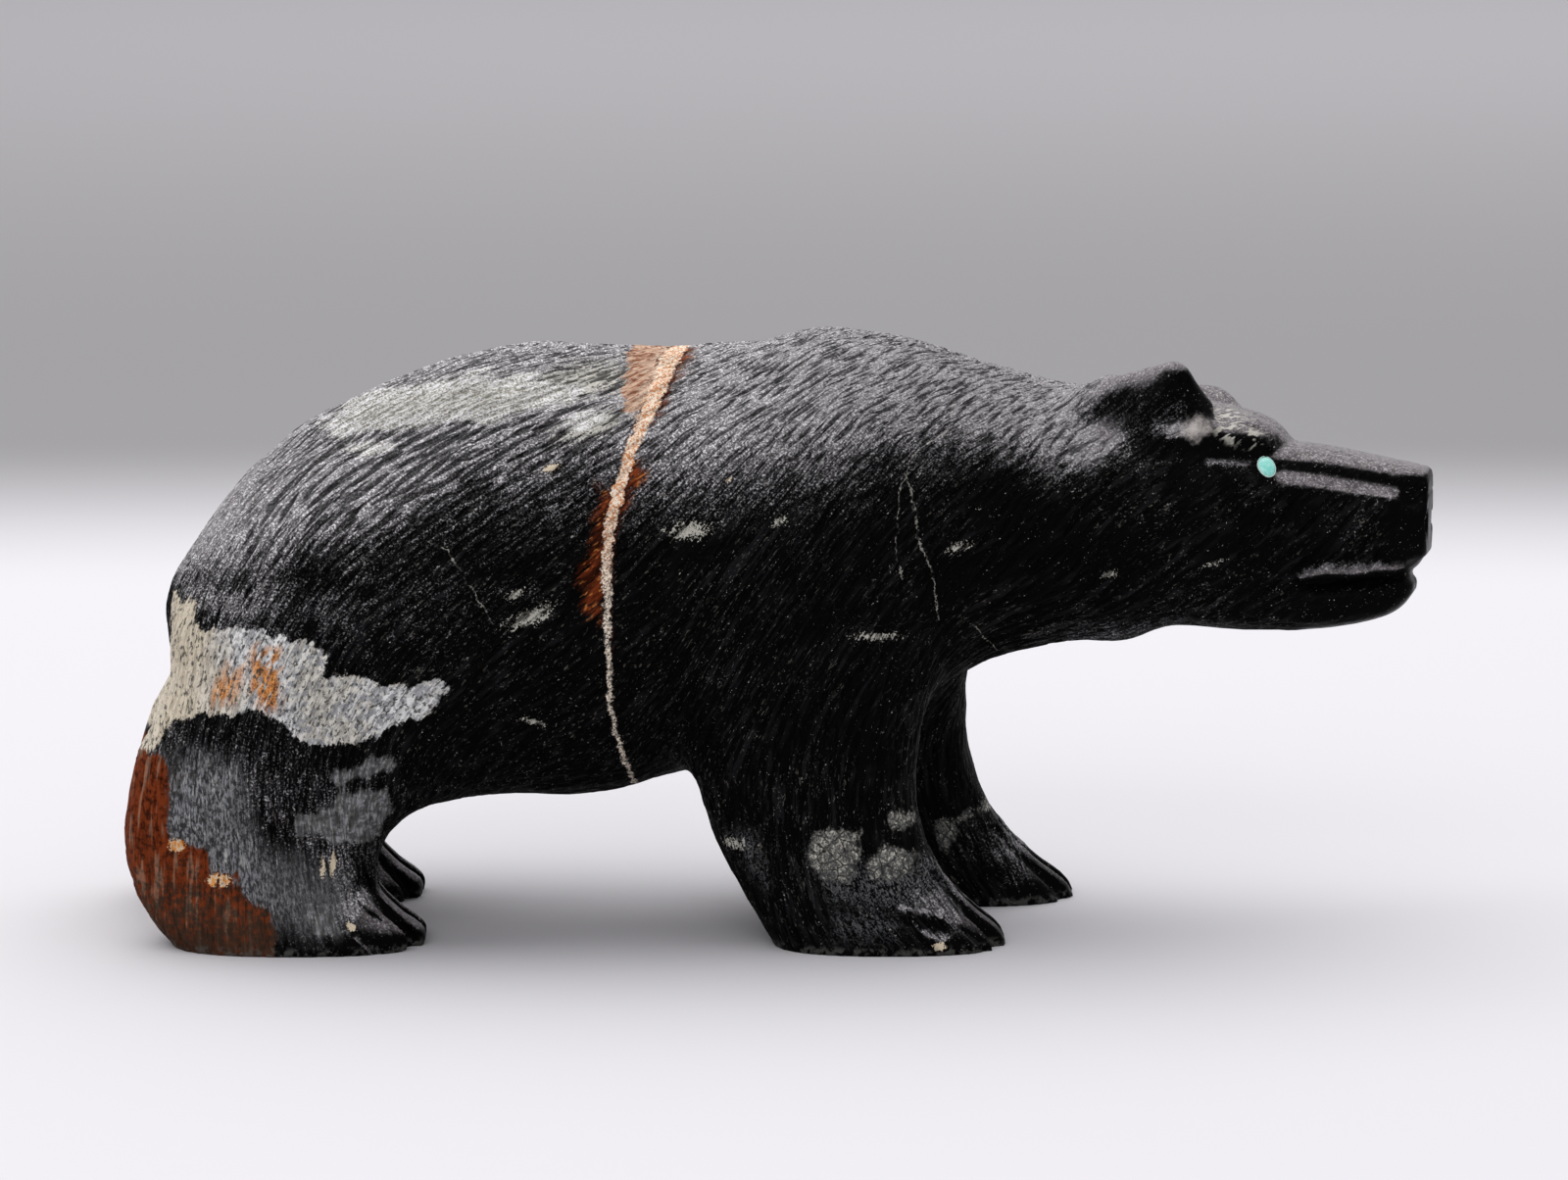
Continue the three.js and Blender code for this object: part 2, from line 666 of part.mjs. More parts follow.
// An oval plug along Z with a domed top. It is grown all round by a margin to make its socket.
function ovalPlug(bottom, rim, crown, margin) {
  const radius = eyeHeight / 2 + margin;
  const arcSteps = 5;
  const dome = Array.from({ length: arcSteps + 1 }, (_, i) => {
    const angle = (Math.PI / 2) * (i / arcSteps);
    return new THREE.Vector2(radius * Math.cos(angle), rim + crown * Math.sin(angle));
  });
  dome[arcSteps].x = 0;
  const profile = [new THREE.Vector2(0, bottom), new THREE.Vector2(radius, bottom), ...dome];
  const geometry = new THREE.LatheGeometry(profile, 20);
  geometry.rotateX(Math.PI / 2);
  geometry.scale((eyeWidth / 2 + margin) / radius, 1, 1);
  return geometry;
}

function eyeInlay(side, name) {
  const mesh = new THREE.Mesh(geometryOf(solidOfGeometry(ovalPlug(-eyeDepth, 0, eyeCrown, 0))), turquoise);
  mesh.name = name;
  mesh.applyMatrix4(eyePose(side));
  return mesh;
}

function eyeSocket(side) {
  const clearAbove = 2 * eyeHeight;
  const geometry = ovalPlug(-eyeDepth - glueGap, clearAbove, glueGap, glueGap);
  return solidOfGeometry(geometry.applyMatrix4(eyePose(side)));
}

const darkStone = new THREE.MeshStandardMaterial({ color: 0x24242a, roughness: 0.55, metalness: 0 });
const turquoise = new THREE.MeshStandardMaterial({ color: 0x5fc2b4, roughness: 0.3, metalness: 0 });

function bearBody() {
  let solid = roughStone().subtract(groundCut());
  for (const side of [RIGHT, LEFT]) solid = solid.subtract(eyeSocket(side));
  const mesh = new THREE.Mesh(geometryOf(solid), darkStone);
  mesh.name = 'bear_body';
  return mesh;
}

const pieces = new THREE.Group();
pieces.add(bearBody(), eyeInlay(RIGHT, 'eye_right'), eyeInlay(LEFT, 'eye_left'));

// The drawing's middle is moved over the origin.
const middle = new THREE.Box3().setFromObject(pieces).getCenter(new THREE.Vector3());
pieces.position.set(-middle.x, -middle.y, 0);

const carving = new THREE.Group();
carving.add(pieces);

export default carving;
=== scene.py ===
import math

import bmesh
import bpy
import numpy as np
from mathutils import Matrix, Vector
from mathutils.kdtree import KDTree


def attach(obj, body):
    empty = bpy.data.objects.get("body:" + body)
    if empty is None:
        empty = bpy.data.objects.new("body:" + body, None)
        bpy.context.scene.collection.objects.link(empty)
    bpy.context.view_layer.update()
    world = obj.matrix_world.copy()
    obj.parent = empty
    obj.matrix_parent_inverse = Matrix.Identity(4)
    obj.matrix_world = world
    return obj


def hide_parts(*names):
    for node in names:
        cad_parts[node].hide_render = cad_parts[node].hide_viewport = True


bl_info = {
    "name": "Carved stone bear",
    "version": (1, 0, 0),
    "blender": (4, 5, 0),
    "location": "3D View > Sidebar > Bear",
    "description": "Dresses a walking bear carved from one dark veined stone, with turquoise eyes",
    "category": "Add Mesh",
}

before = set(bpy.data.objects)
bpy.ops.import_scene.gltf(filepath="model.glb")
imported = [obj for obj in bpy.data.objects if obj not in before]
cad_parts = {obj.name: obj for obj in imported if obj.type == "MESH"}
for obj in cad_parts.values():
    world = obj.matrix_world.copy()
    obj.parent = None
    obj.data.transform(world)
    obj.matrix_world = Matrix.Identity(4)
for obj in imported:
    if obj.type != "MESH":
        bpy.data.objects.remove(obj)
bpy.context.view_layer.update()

MM = 0.001
LENGTH = 115 * MM             # from the right heel to the nose
SHARE = LENGTH / 100          # the bear's form is drawn in hundredths of its length
DRAWING_MOVE = np.array([0.2705, 0.0067, 0.0]) * MM   # from the drawing's place to the part's
RIGHT = -1
LEFT = 1
MOST_TRIANGLES = 198_000      # of the body
PLUG_RADIUS = 1.75 * MM       # of the ball that fills an eye's socket before the body is remeshed
PLUG_DEPTH = 0.9 * PLUG_RADIUS
LOFT_SAMPLES = 241


# The form of the stone, as fields: below zero is inside, above zero outside, about a distance.

def blend(a, b, fillet):
    """Joins two forms with a fillet between them."""
    overlap = np.maximum(fillet - np.abs(a - b), 0)
    return np.minimum(a, b) - overlap ** 2 / (4 * fillet)


def carve(a, b, fillet):
    """Takes form b out of form a with a softened edge."""
    return -blend(-a, b, fillet)


def smooth_step(value, low, high):
    """Goes from 0 to 1 as a value goes from low to high, and down where low is the larger."""
    t = np.clip((value - low) / (high - low), 0, 1)
    return t * t * (3 - 2 * t)


def limb(p, start, end, start_radius, end_radius):
    """A limb with round ends whose radius changes from its start to its end."""
    start = np.array(start)
    run = np.array(end) - start
    t = np.clip((p - start) @ run / (run @ run), 0, 1)
    away = np.linalg.norm(p - start - t[:, None] * run, axis=1)
    return away - start_radius - t * (end_radius - start_radius)


def mass(p, centre, radii, pitch=0):
    """An ellipsoid whose front is pitched up by an angle in degrees."""
    x, y, z = (p - np.array(centre)).T
    cos = math.cos(math.radians(pitch))
    sin = math.sin(math.radians(pitch))
    u = (x * cos + z * sin) / radii[0]
    v = y / radii[1]
    w = (z * cos - x * sin) / radii[2]
    ratio = np.sqrt(u * u + v * v + w * w)
    slope = np.sqrt((u / radii[0]) ** 2 + (v / radii[1]) ** 2 + (w / radii[2]) ** 2)
    return ratio * (ratio - 1) / np.maximum(slope, 1e-6)


class Loft:
    """A form lofted through rounded sections: [place, low, high, side low, side high]."""

    def __init__(self, stations, squareness, cap_fillet):
        self.squareness = squareness
        self.cap_fillet = cap_fillet
        stations = np.array(stations, float)
        places = stations[:, 0]
        self.places = np.linspace(places[0], places[-1], LOFT_SAMPLES)
        k = np.clip(np.searchsorted(places, self.places), 1, len(places) - 1)
        before = np.maximum(k - 2, 0)
        after = np.minimum(k + 1, len(places) - 1)
        gap = places[k] - places[k - 1]
        s = (self.places - places[k - 1]) / gap
        self.curves = []
        for values in stations[:, 1:].T:
            slope_low = (values[k] - values[before]) / (places[k] - places[before])
            slope_high = (values[after] - values[k - 1]) / (places[after] - places[k - 1])
            lift = s * (1 - s) * ((1 - s) * slope_low - s * slope_high) * gap
            rise = s * s * (3 - 2 * s) * (values[k] - values[k - 1])
            self.curves.append(values[k - 1] + rise + lift)

    def field(self, place, up, side):
        low, high, side_low, side_high = (np.interp(place, self.places, curve) for curve in self.curves)
        half_up = (high - low) / 2
        half_side = (side_high - side_low) / 2
        u = np.abs(up - (low + high) / 2) / half_up
        v = np.abs(side - (side_low + side_high) / 2) / half_side
        n = self.squareness
        un = u ** (n - 1)
        vn = v ** (n - 1)
        ratio = np.maximum((un * u + vn * v) ** (1 / n), 1e-3)
        slope = np.sqrt((un / half_up) ** 2 + (vn / half_side) ** 2) / ratio ** (n - 1)
        wall = (ratio - 1) / np.maximum(slope, 1e-3)
        cap = np.maximum(self.places[0] - place, place - self.places[-1])
        return carve(wall, -cap, self.cap_fillet)


# Along X: [x, belly, back, right flank, left flank]
TRUNK = Loft([
    [-46.4, 21, 27.6, -5.5, 5.5],
    [-43.5, 17.8, 31.4, -9.3, 9.3],
    [-40, 15.2, 35.6, -11.8, 11.8],
    [-35, 12.8, 39.4, -13.5, 13.5],
    [-29, 11, 42.2, -14.5, 14.5],
    [-22, 10.1, 44.4, -14.9, 14.9],
    [-15, 10.1, 44.8, -14.9, 14.9],
    [-8, 11.6, 44.5, -14.4, 14.4],
    [-2, 13.2, 45, -13.8, 13.8],
    [4, 14.8, 46, -13, 13],
    [10, 17.2, 45.2, -12.2, 12.2],
    [16, 20.4, 43.4, -11.4, 11.4],
    [22, 22, 41.4, -10.8, 10.8],
    [28, 22.7, 40.4, -10.3, 9.7],
], 2.15, 3)

# Up Z: [z, heel, toes and shin, inner side, outer side]
HIND_LEG = Loft([
    [-3, -45.6, -27.8, 3.2, 15],
    [0, -46.2, -26.9, 3.2, 15],
    [1.3, -47.2, -27, 3.3, 14.9],
    [2.8, -48.2, -28.9, 3.5, 14.7],
    [4.6, -49, -30.4, 3.8, 14.3],
    [8, -49.8, -30.2, 3.8, 14.2],
    [11, -49.6, -28.4, 3.2, 14.8],
    [15, -48.4, -24.8, 1.6, 15.6],
    [20, -46, -21.5, 0, 15.8],
    [25, -44.5, -22, 0, 14.8],
], 2.5, 3)

FRONT_LEG = Loft([
    [-3, 0.2, 17.2, 3.4, 14.8],
    [0, -0.4, 17.4, 3.4, 14.8],
    [1.3, -1.1, 16.8, 3.5, 14.7],
    [2.8, -2, 15, 3.7, 14.5],
    [5, -3.2, 12.9, 4, 14],
    [8, -4.7, 11.3, 4, 13.8],
    [12, -6, 10.5, 3.2, 14.4],
    [17, -7.2, 10.8, 1.4, 15.2],
    [23, -8, 10.8, 0, 15],
], 2.5, 3)

# The head's own forms, along X before it is turned: [x, chin side, crown side, right, left]
SKULL = Loft([
    [18, 23.2, 40.6, -9, 9],
    [24, 22.9, 40.9, -9.6, 9.6],
    [30, 23.2, 40.9, -9.5, 9.5],
    [34, 23.8, 40.3, -8.9, 8.9],
    [37, 24.4, 38.6, -7.8, 7.8],
    [39.6, 25.4, 36.6, -6.2, 6.2],
], 2.2, 2)

MUZZLE = Loft([
    [32, 27, 36.2, -7.8, 7.8],
    [36, 26.9, 37.2, -7, 7],
    [39, 26.9, 37.5, -6.2, 6.2],
    [42, 27.1, 37.3, -5.6, 5.6],
    [46, 27.6, 36.6, -4.9, 4.9],
    [50.1, 28.7, 35.8, -4.1, 4.1],
], 3.4, 0.5)

JAW = Loft([
    [31, 24.4, 29.2, -6.8, 6.8],
    [36, 23.3, 27.9, -6.2, 6.2],
    [40, 23.3, 27.4, -5.4, 5.4],
    [44, 23.7, 27.4, -4.8, 4.8],
    [47, 24.5, 27.6, -4.1, 4.1],
    [49.1, 25.8, 27.8, -3.2, 3.2],
], 3.2, 1.4)

# The left side steps with its front foot ahead and its hind foot a little behind.
FRONT_STRIDE = 6.0
HIND_STRIDE = -1.2
SWING_HEIGHT = 46
FLUTES_TOP = 6
LEFT_EAR = {"ahead": 1.7, "drop": 2.9}   # the left ear is blunter and lower


def claw_flutes(top_x, top_z, ground_x):
    """Flutes that part four claws: pairs of ends, down the front of a foot to the ground."""
    middle_y = 8.9
    spacing = 2.5
    flutes = []
    for away in (-spacing, 0, spacing):
        set_back = 0.08 * away ** 2
        top = [top_x - set_back, middle_y + away, top_z]
        ground = [ground_x - set_back, middle_y + 1.15 * away, -0.3]
        flutes.append((top, ground))
    return flutes


HIND_FLUTES = claw_flutes(-30.8, 5.0, -26.6)
FRONT_FLUTES = claw_flutes(12.4, 5.8, 17.9)

# Finer nicks outside the flutes, which part the outermost toes: pairs of ends
HIND_NICKS = [
    ([-31.2, 13, 3.3], [-28.2, 12.6, -0.2]),
    ([-32.6, 14.3, 2.2], [-30.2, 14.1, 0.2]),
]
FRONT_NICKS = [([13.6, 13.5, 2.3], [15.8, 13.1, 0.1])]


def leg(loft, flutes, nicks, x, outward, z):
    """A leg and its foot, with the claws parted by flutes and nicks"""
    form = loft.field(z, x, outward)
    low = z < FLUTES_TOP
    at_foot = np.stack([x, outward, z], 1)[low]
    for top, ground in flutes:
        form[low] = carve(form[low], limb(at_foot, top, ground, 0.55, 0.8), 0.3)
    for top, ground in nicks:
        form[low] = carve(form[low], limb(at_foot, top, ground, 0.2, 0.4), 0.15)
    return form


def add_legs(form, p):
    """Joins the legs and muscles of both sides to a form."""
    x, y, z = p.T
    outward = np.abs(y)
    swing = smooth_step(y, -3, 3) * (1 - z / SWING_HEIGHT)
    hind_x = x - HIND_STRIDE * swing
    front_x = x - FRONT_STRIDE * swing
    hind = leg(HIND_LEG, HIND_FLUTES, HIND_NICKS, hind_x, outward, z)
    front = leg(FRONT_LEG, FRONT_FLUTES, FRONT_NICKS, front_x, outward, z)
    haunch = mass(np.stack([hind_x, outward, z], 1), [-32.4, 7.2, 22.4], [12.2, 8.6, 13.0])
    shoulder = mass(np.stack([front_x, outward, z], 1), [2.4, 6.8, 27.6], [10.0, 8.4, 12.6], -10)
    return blend(blend(form, np.minimum(haunch, shoulder), 5), np.minimum(hind, front), 3.2)


# How the head is carried: turned to the bear's right and leaned a little
HEAD_PIVOT = np.array([24.0, 0.0, 32.0])
HEAD_YAW = Matrix.Rotation(math.radians(-9.5), 3, "Z")
HEAD_LEAN = Matrix.Rotation(math.radians(-4), 3, "X")
HEAD_TURN = np.array(HEAD_YAW @ HEAD_LEAN)


def to_head(p):
    """Points of the bear, in the head's own frame"""
    return (p - HEAD_PIVOT) @ HEAD_TURN + HEAD_PIVOT


def from_head(p):
    """Points of the head's own frame, in the bear's"""
    return (p - HEAD_PIVOT) @ HEAD_TURN.T + HEAD_PIVOT


def add_ear(form, q, ahead=0.0, drop=0.0):
    """A ridge out of the neck to the tip, a front edge down to the brow, and a cup between"""
    tip = [31.0 + ahead, 6.9 - ahead / 3, 42.65 - drop]
    cup_top = [31.9 + ahead, 7.9, 42.3 - drop]
    cup_foot = [31.8 + ahead, 8.9, 40.2 - drop]
    form = blend(form, mass(q, [30.2 + ahead, 6.0, 39.6 - drop / 2], [3.3, 2.6, 3.0]), 1.5)
    form = blend(form, limb(q, [25.0, 5.5, 39.7], tip, 2.4, 1.15), 1.5)
    form = blend(form, limb(q, tip, [33.1, 5.6, 40.4 - drop / 2], 0.9, 0.7), 0.8)
    form = carve(form, limb(q, cup_top, cup_foot, 0.5, 1.75), 0.4)
    return carve(form, limb(q, [31.7 + ahead, 9.1, 39.8 - drop], [30.4, 9.6, 38.6], 1.5, 0.9), 0.7)


# The ragged edge of the upper lip, in the head's own frame: [x, y, z]
LIP = [[40.8, 5.5, 27.4], [42.6, 5.2, 27.85], [44.6, 4.9, 27.8], [46.6, 4.5, 28.2], [48.4, 4.1, 28.2]]


def add_brows(form, q):
    """Joins the brow ridges, the forehead, the eyes' lids and the lips to the head."""
    form = blend(form, limb(q, [31.5, 6.9, 38.6], [37.3, 5.5, 37.8], 1.0, 0.5), 1.6)
    form = blend(form, mass(q, [36.2, 2.0, 38.3], [2.9, 4.0, 1.4], -18), 1.0)
    form = blend(form, limb(q, [33.8, 6.9, 36.45], [36.9, 6.3, 36.15], 0.26, 0.22), 0.3)
    for start, end in zip(LIP, LIP[1:]):
        form = blend(form, limb(q, start, end, 0.3, 0.3), 0.3)
    return form


def carve_face(form, q):
    """Carves the eye hollows, the grooves beside the bridge, the mouth, the nose and the nostrils."""
    form = carve(form, mass(q, [37.4, 8.6, 37.1], [2.7, 1.2, 1.2], -6), 1.4)
    form = carve(form, limb(q, [39.5, 6.3, 36.15], [48.2, 4.65, 34.65], 1.15, 0.88), 0.45)
    form = carve(form, limb(q, [40.6, 5.9, 26.9], [49.5, 4.2, 27.65], 0.34, 0.4), 0.2)
    form = carve(form, limb(q, [50.4, -5, 28.4], [50.4, 5, 28.4], 0.9, 0.9), 0.3)
    form = carve(form, mass(q, [49.8, 4.6, 34.5], [1.9, 1.2, 1.9]), 0.3)
    form = carve(form, limb(q, [47.9, 4.9, 33.0], [47.9, 4.9, 30.0], 0.4, 0.4), 0.3)
    return carve(form, mass(q, [50.0, 2.9, 31.8], [0.7, 0.9, 1.0]), 0.25)


def head(p):
    """The head, turned as the bear carries it. Its two sides are alike but for the ears."""
    q = to_head(p)
    x, y, z = q.T
    form = blend(SKULL.field(x, z, y), JAW.field(x, z, y), 2)
    form = blend(form, MUZZLE.field(x, z, y), 1.5)
    q[:, 1] = np.abs(y)
    form = add_brows(form, q)
    is_left = p @ HEAD_TURN[:, 1] > HEAD_PIVOT @ HEAD_TURN[:, 1]
    form[~is_left] = add_ear(form[~is_left], q[~is_left])
    form[is_left] = add_ear(form[is_left], q[is_left], **LEFT_EAR)
    return carve_face(form, q)


def add_chip(form, p):
    """Leaves the torn ledge of an old chip on the right front foot, and the pit below its end."""
    form = blend(form, limb(p, [9.4, -14.4, 3.5], [12.3, -14.0, 2.9], 0.42, 0.46), 0.3)
    form = carve(form, limb(p, [7.8, -14.9, 3.0], [11.0, -14.8, 2.45], 0.26, 0.4), 0.1)
    return carve(form, limb(p, [11.0, -14.6, 2.3], [12.4, -14.2, 2.0], 0.45, 0.72), 0.1)


def bear(p):
    """The whole bear, in hundredths of its length"""
    x, y, z = p.T
    form = blend(TRUNK.field(x, z, y), mass(p, [-45.0, 0, 25.0], [2.1, 3.0, 3.6], -12), 1.2)
    form = add_legs(form, p)
    near_chip = (x > 5) & (x < 15) & (y < -10) & (z < 6)
    form[near_chip] = add_chip(form[near_chip], p[near_chip])
    ahead = x > 12
    form[ahead] = blend(form[ahead], head(p[ahead]), 2.5)
    return form


def stone(p):
    """The bear with its soles ground flat, for points in metres in the part's frame"""
    q = (p - DRAWING_MOVE) / SHARE
    return np.maximum(bear(q), -q[:, 2]) * SHARE


def stone_slope(p):
    """The stone's field at points, and how it climbs along X, Y and Z"""
    step = 0.02 * MM
    field = stone(p)
    rises = [(stone(p + step * axis) - field) / step for axis in np.eye(3)]
    return field, np.stack(rises, 1)


def way_out(p):
    """Unit vectors that point straight out of the stone"""
    slope = stone_slope(p)[1]
    return slope / np.linalg.norm(slope, axis=1)[:, None]


SETTLING_STEPS = 4


def settle(p, longest):
    """Moves points onto the skin of the stone, by steps no longer than given."""
    for _ in range(SETTLING_STEPS):
        field, slope = stone_slope(p)
        steepness = np.maximum((slope ** 2).sum(1), 0.25)
        step = -(field / steepness)[:, None] * slope
        p = p + np.clip(step, -longest, longest)
    return p


# Which way the fur lies, seen from the side: [x, z, degrees], in millimetres in the part's frame
FUR_LIES = [
    [-55, 33, 62], [-51, 41, 50], [-45, 46, 36], [-33, 44, 28], [-22, 48, 20], [-20, 41, 34], [-5, 47, 35],
    [-34.5, 9, 95], [-39, 5, 95], [-5, 41, 44], [3, 43, 43], [8, 48, 38], [14, 44, 45], [20, 45, 47],
    [28, 44, 48], [-32, 35, 37], [-16, 34, 40], [-4, 36, 50], [-28, 28, 44], [-12, 27, 38], [-20, 18, 24],
    [-44, 33, 58], [-50, 25, 80], [-40, 24, 62], [-47, 13, 92], [-38, 12, 88], [-33.5, 4.5, 135],
    [5, 37, 55], [4, 29, 62], [-3, 23, 68], [10, 26, 68], [3, 15, 95], [-5, 9, 108], [10, 9, 112],
    [12, 4, 145], [20, 37, 52], [28, 34, 52], [16, 28, 48], [24, 27, 20], [34, 33, 55], [41, 36, 52],
    [47, 35, 47], [55, 37, 45], [45, 28.5, 12], [38, 26.5, 12],
]
SPINE_HALF_WIDTH = 6 * MM     # within it the fur turns to lie along the spine


def fur_lie(x, z):
    """The angle of the fur seen from the side, from 0 to 180 degrees, at places in millimetres"""
    cosines = 0
    sines = 0
    for at_x, at_z, degrees in FUR_LIES:
        weight = 1 / ((x - at_x) ** 2 + (z - at_z) ** 2 + 4) ** 1.5
        cosines = cosines + weight * math.cos(2 * math.radians(degrees))
        sines = sines + weight * math.sin(2 * math.radians(degrees))
    return np.degrees(np.arctan2(sines, cosines)) / 2 % 180


def fur_ways(p, out):
    """Unit vectors along the fur and across it, on the skin of the stone"""
    lie = np.radians(fur_lie(p[:, 0] / MM, p[:, 2] / MM))
    from_spine = np.clip(p[:, 1] / SPINE_HALF_WIDTH, -1, 1)
    sideways = -from_spine * np.sin(lie) * np.maximum(out[:, 2], 0)
    along = np.stack([np.cos(lie), sideways, np.sin(lie)], 1)
    along -= (along * out).sum(1)[:, None] * out
    along /= np.maximum(np.linalg.norm(along, axis=1), 1e-6)[:, None]
    return along, np.cross(out, along)


# The fur's combing is worked out on a grid, in millimetres: X, and the height carried on over the back
COMB_STEP = 2.0
COMB_ROUNDS = 30
COMB_X = np.arange(-64.0, 66.0, COMB_STEP)
COMB_UP = np.arange(-6.0, 70.0, COMB_STEP)


def unrolled_height(p):
    """Height up the side of the bear, carried on over its back to the spine, in millimetres"""
    y, z = p[:, 1] / MM, p[:, 2] / MM
    return z + 0.75 * smooth_step(z, 24, 38) * np.maximum(12.5 - np.abs(y), 0)


def height_of_slopes(slope_x, slope_up):
    """The height over the comb's grid whose slopes come closest to the given ones"""
    steps_x = np.diff(np.eye(len(COMB_X)), axis=0)
    steps_up = np.diff(np.eye(len(COMB_UP)), axis=0)
    climbs_x = (slope_x[1:] + slope_x[:-1]) / 2 * COMB_STEP
    climbs_up = (slope_up[:, 1:] + slope_up[:, :-1]) / 2 * COMB_STEP
    wanted = steps_x.T @ climbs_x + climbs_up @ steps_up
    size_x, waves_x = np.linalg.eigh(steps_x.T @ steps_x)
    size_up, waves_up = np.linalg.eigh(steps_up.T @ steps_up)
    sizes = size_x[:, None] + size_up[None, :]
    sizes[0, 0] = np.inf
    return waves_x @ (waves_x.T @ wanted @ waves_up / sizes) @ waves_up.T


def comb():
    """How far along the fur and across it each point of the grid is, in millimetres"""
    lie = np.radians(fur_lie(*np.meshgrid(COMB_X, COMB_UP, indexing="ij")))
    along = height_of_slopes(np.cos(lie), np.sin(lie))
    spread = np.ones_like(lie)
    for _ in range(COMB_ROUNDS):
        across = height_of_slopes(-np.sin(lie) * spread, np.cos(lie) * spread)
        slope_x, slope_up = np.gradient(across, COMB_STEP)
        spread = np.clip(slope_up * np.cos(lie) - slope_x * np.sin(lie), 0.7, 1.5)
    return along, across


def read_grid(grid, x, up):
    """The comb's value at places between the grid's points"""
    at_x = np.clip((x - COMB_X[0]) / COMB_STEP, 0, len(COMB_X) - 1.001)
    at_up = np.clip((up - COMB_UP[0]) / COMB_STEP, 0, len(COMB_UP) - 1.001)
    i, j = at_x.astype(int), at_up.astype(int)
    s, t = at_x - i, at_up - j
    low = grid[i, j] * (1 - s) + grid[i + 1, j] * s
    high = grid[i, j + 1] * (1 - s) + grid[i + 1, j + 1] * s
    return low * (1 - t) + high * t


def combed(p):
    """How far along the fur and across it each point lies, in millimetres, smoothed over a grid step"""
    x, up = p[:, 0] / MM, unrolled_height(p)
    half = COMB_STEP / 2
    shifts = [(half, half), (half, -half), (-half, half), (-half, -half)]
    return [sum(read_grid(grid, x + dx, up + dz) for dx, dz in shifts) / 4 for grid in comb()]


def polish(p):
    """How smooth the stone is left: 0 where fur is cut, 1 where it is polished"""
    drawn = (p - DRAWING_MOVE) / SHARE
    x, _, z = to_head(drawn).T
    crown = smooth_step(z + 0.15 * (x - 30), 36.9, 37.5) * smooth_step(x, 31.3, 32.1)
    bridge = smooth_step(z + 0.12 * (x - 41), 34.0, 34.5) * smooth_step(x - 0.25 * (36 - z), 36.9, 37.6)
    nape = 0.8 * smooth_step(z - 0.7 * (x - 28.5), 38.6, 40.0) * smooth_step(x, 23.5, 27)
    nose = smooth_step(x, 46.9, 47.5)
    lip = z - 0.1 * (x - 41)
    lips = smooth_step(x, 40, 41) * smooth_step(lip, 26.1, 26.6) * smooth_step(lip, 28.1, 27.85)
    jaw = 0.85 * smooth_step(x, 39.4, 41.4) * smooth_step(z, 27.4, 26.8)
    swing = smooth_step(drawn[:, 1], -3, 3) * (1 - drawn[:, 2] / SWING_HEIGHT)
    up = drawn[:, 2]
    front_x = drawn[:, 0] - FRONT_STRIDE * swing
    hind_x = drawn[:, 0] - HIND_STRIDE * swing
    low = smooth_step(up, 6.2, 5.4)
    front_claws = smooth_step(front_x - 0.4 * up, 12.5, 13.2) * low
    hind_claws = smooth_step(hind_x - 0.8 * up, -34.5, -33.7) * low * (front_x < -10)
    sole = smooth_step(up, 0.5, 0.2)
    return np.maximum.reduce([crown, bridge, nape, nose, lips, jaw, front_claws, hind_claws, sole])


LEAST_FUR = 0.15        # below it no stroke starts
STROKE_TILT = math.radians(7)       # the most that a stroke strays from the fur's lie


def stroke_sizes(settings, p, fur):
    """The length, depth and spacing of the strokes at each point: bolder on the hip, finer low down"""
    x, y, z = p.T / MM
    hip = np.exp(-((x + 33) ** 2 + 1.6 * (z - 43) ** 2) / 260) * smooth_step(y, 6, -2)
    finer = np.maximum(smooth_step(z, 22, 12), smooth_step(x, 24, 36) * smooth_step(x, 44, 40))
    length = settings.fur_length * (1 + 0.35 * hip - 0.3 * finer)
    depth = settings.fur_depth * (1 + 0.5 * hip - 0.35 * finer) * fur
    depth *= 1 - 0.5 * smooth_step(y, 4, 9)
    depth *= 1 - 0.6 * smooth_step(x, -43, -50) * smooth_step(z, 30, 36)
    apart = settings.fur_spacing * (1 + 0.35 * hip - 0.1 * finer)
    return length, depth, apart


def tree_of(p):
    """A tree that finds the points near a place"""
    tree = KDTree(len(p))
    for index, point in enumerate(p):
        tree.insert(point, index)
    tree.balance()
    return tree


def fur_cuts(settings, p, out, draws):
    """How deep the strokes of the fur cut at each point of the net, in metres"""
    along, across = fur_ways(p, out)
    fur = 1 - polish(p)
    length, depth, apart = stroke_sizes(settings, p, fur)
    chances = draws.uniform(-1, 1, (len(p), 3))
    tree = tree_of(p)
    cuts = np.zeros(len(p))
    taken = fur < LEAST_FUR
    for index in draws.permutation(len(p)):
        if taken[index]:
            continue
        stroke, tilt, weight = chances[index]
        reach = length[index] * (1 + 0.25 * stroke) / 2
        near = np.array([found for _, found, _ in tree.find_range(p[index], 1.15 * reach)])
        away = p[near] - p[index]
        turn = STROKE_TILT * tilt
        forward = along[index] * math.cos(turn) + across[index] * math.sin(turn)
        sideways = across[index] * math.cos(turn) - along[index] * math.sin(turn)
        t = away @ forward / reach
        c = away @ sideways
        crowded = (t / 1.1) ** 2 + (c / (0.8 * apart[index])) ** 2 < 1
        taken[near[crowded]] = True
        half_width = 0.42 * apart[index] * np.sqrt(np.maximum(1 - t ** 2, 0)) * (1 + 0.3 * t)
        blade = np.maximum(1 - np.abs(c) / np.maximum(half_width, 1e-6), 0)
        cut = depth[index] * (1 + 0.35 * weight) * blade * np.sqrt(np.maximum(1 - t ** 2, 0))
        cuts[near] = np.maximum(cuts[near], cut)
    return cuts


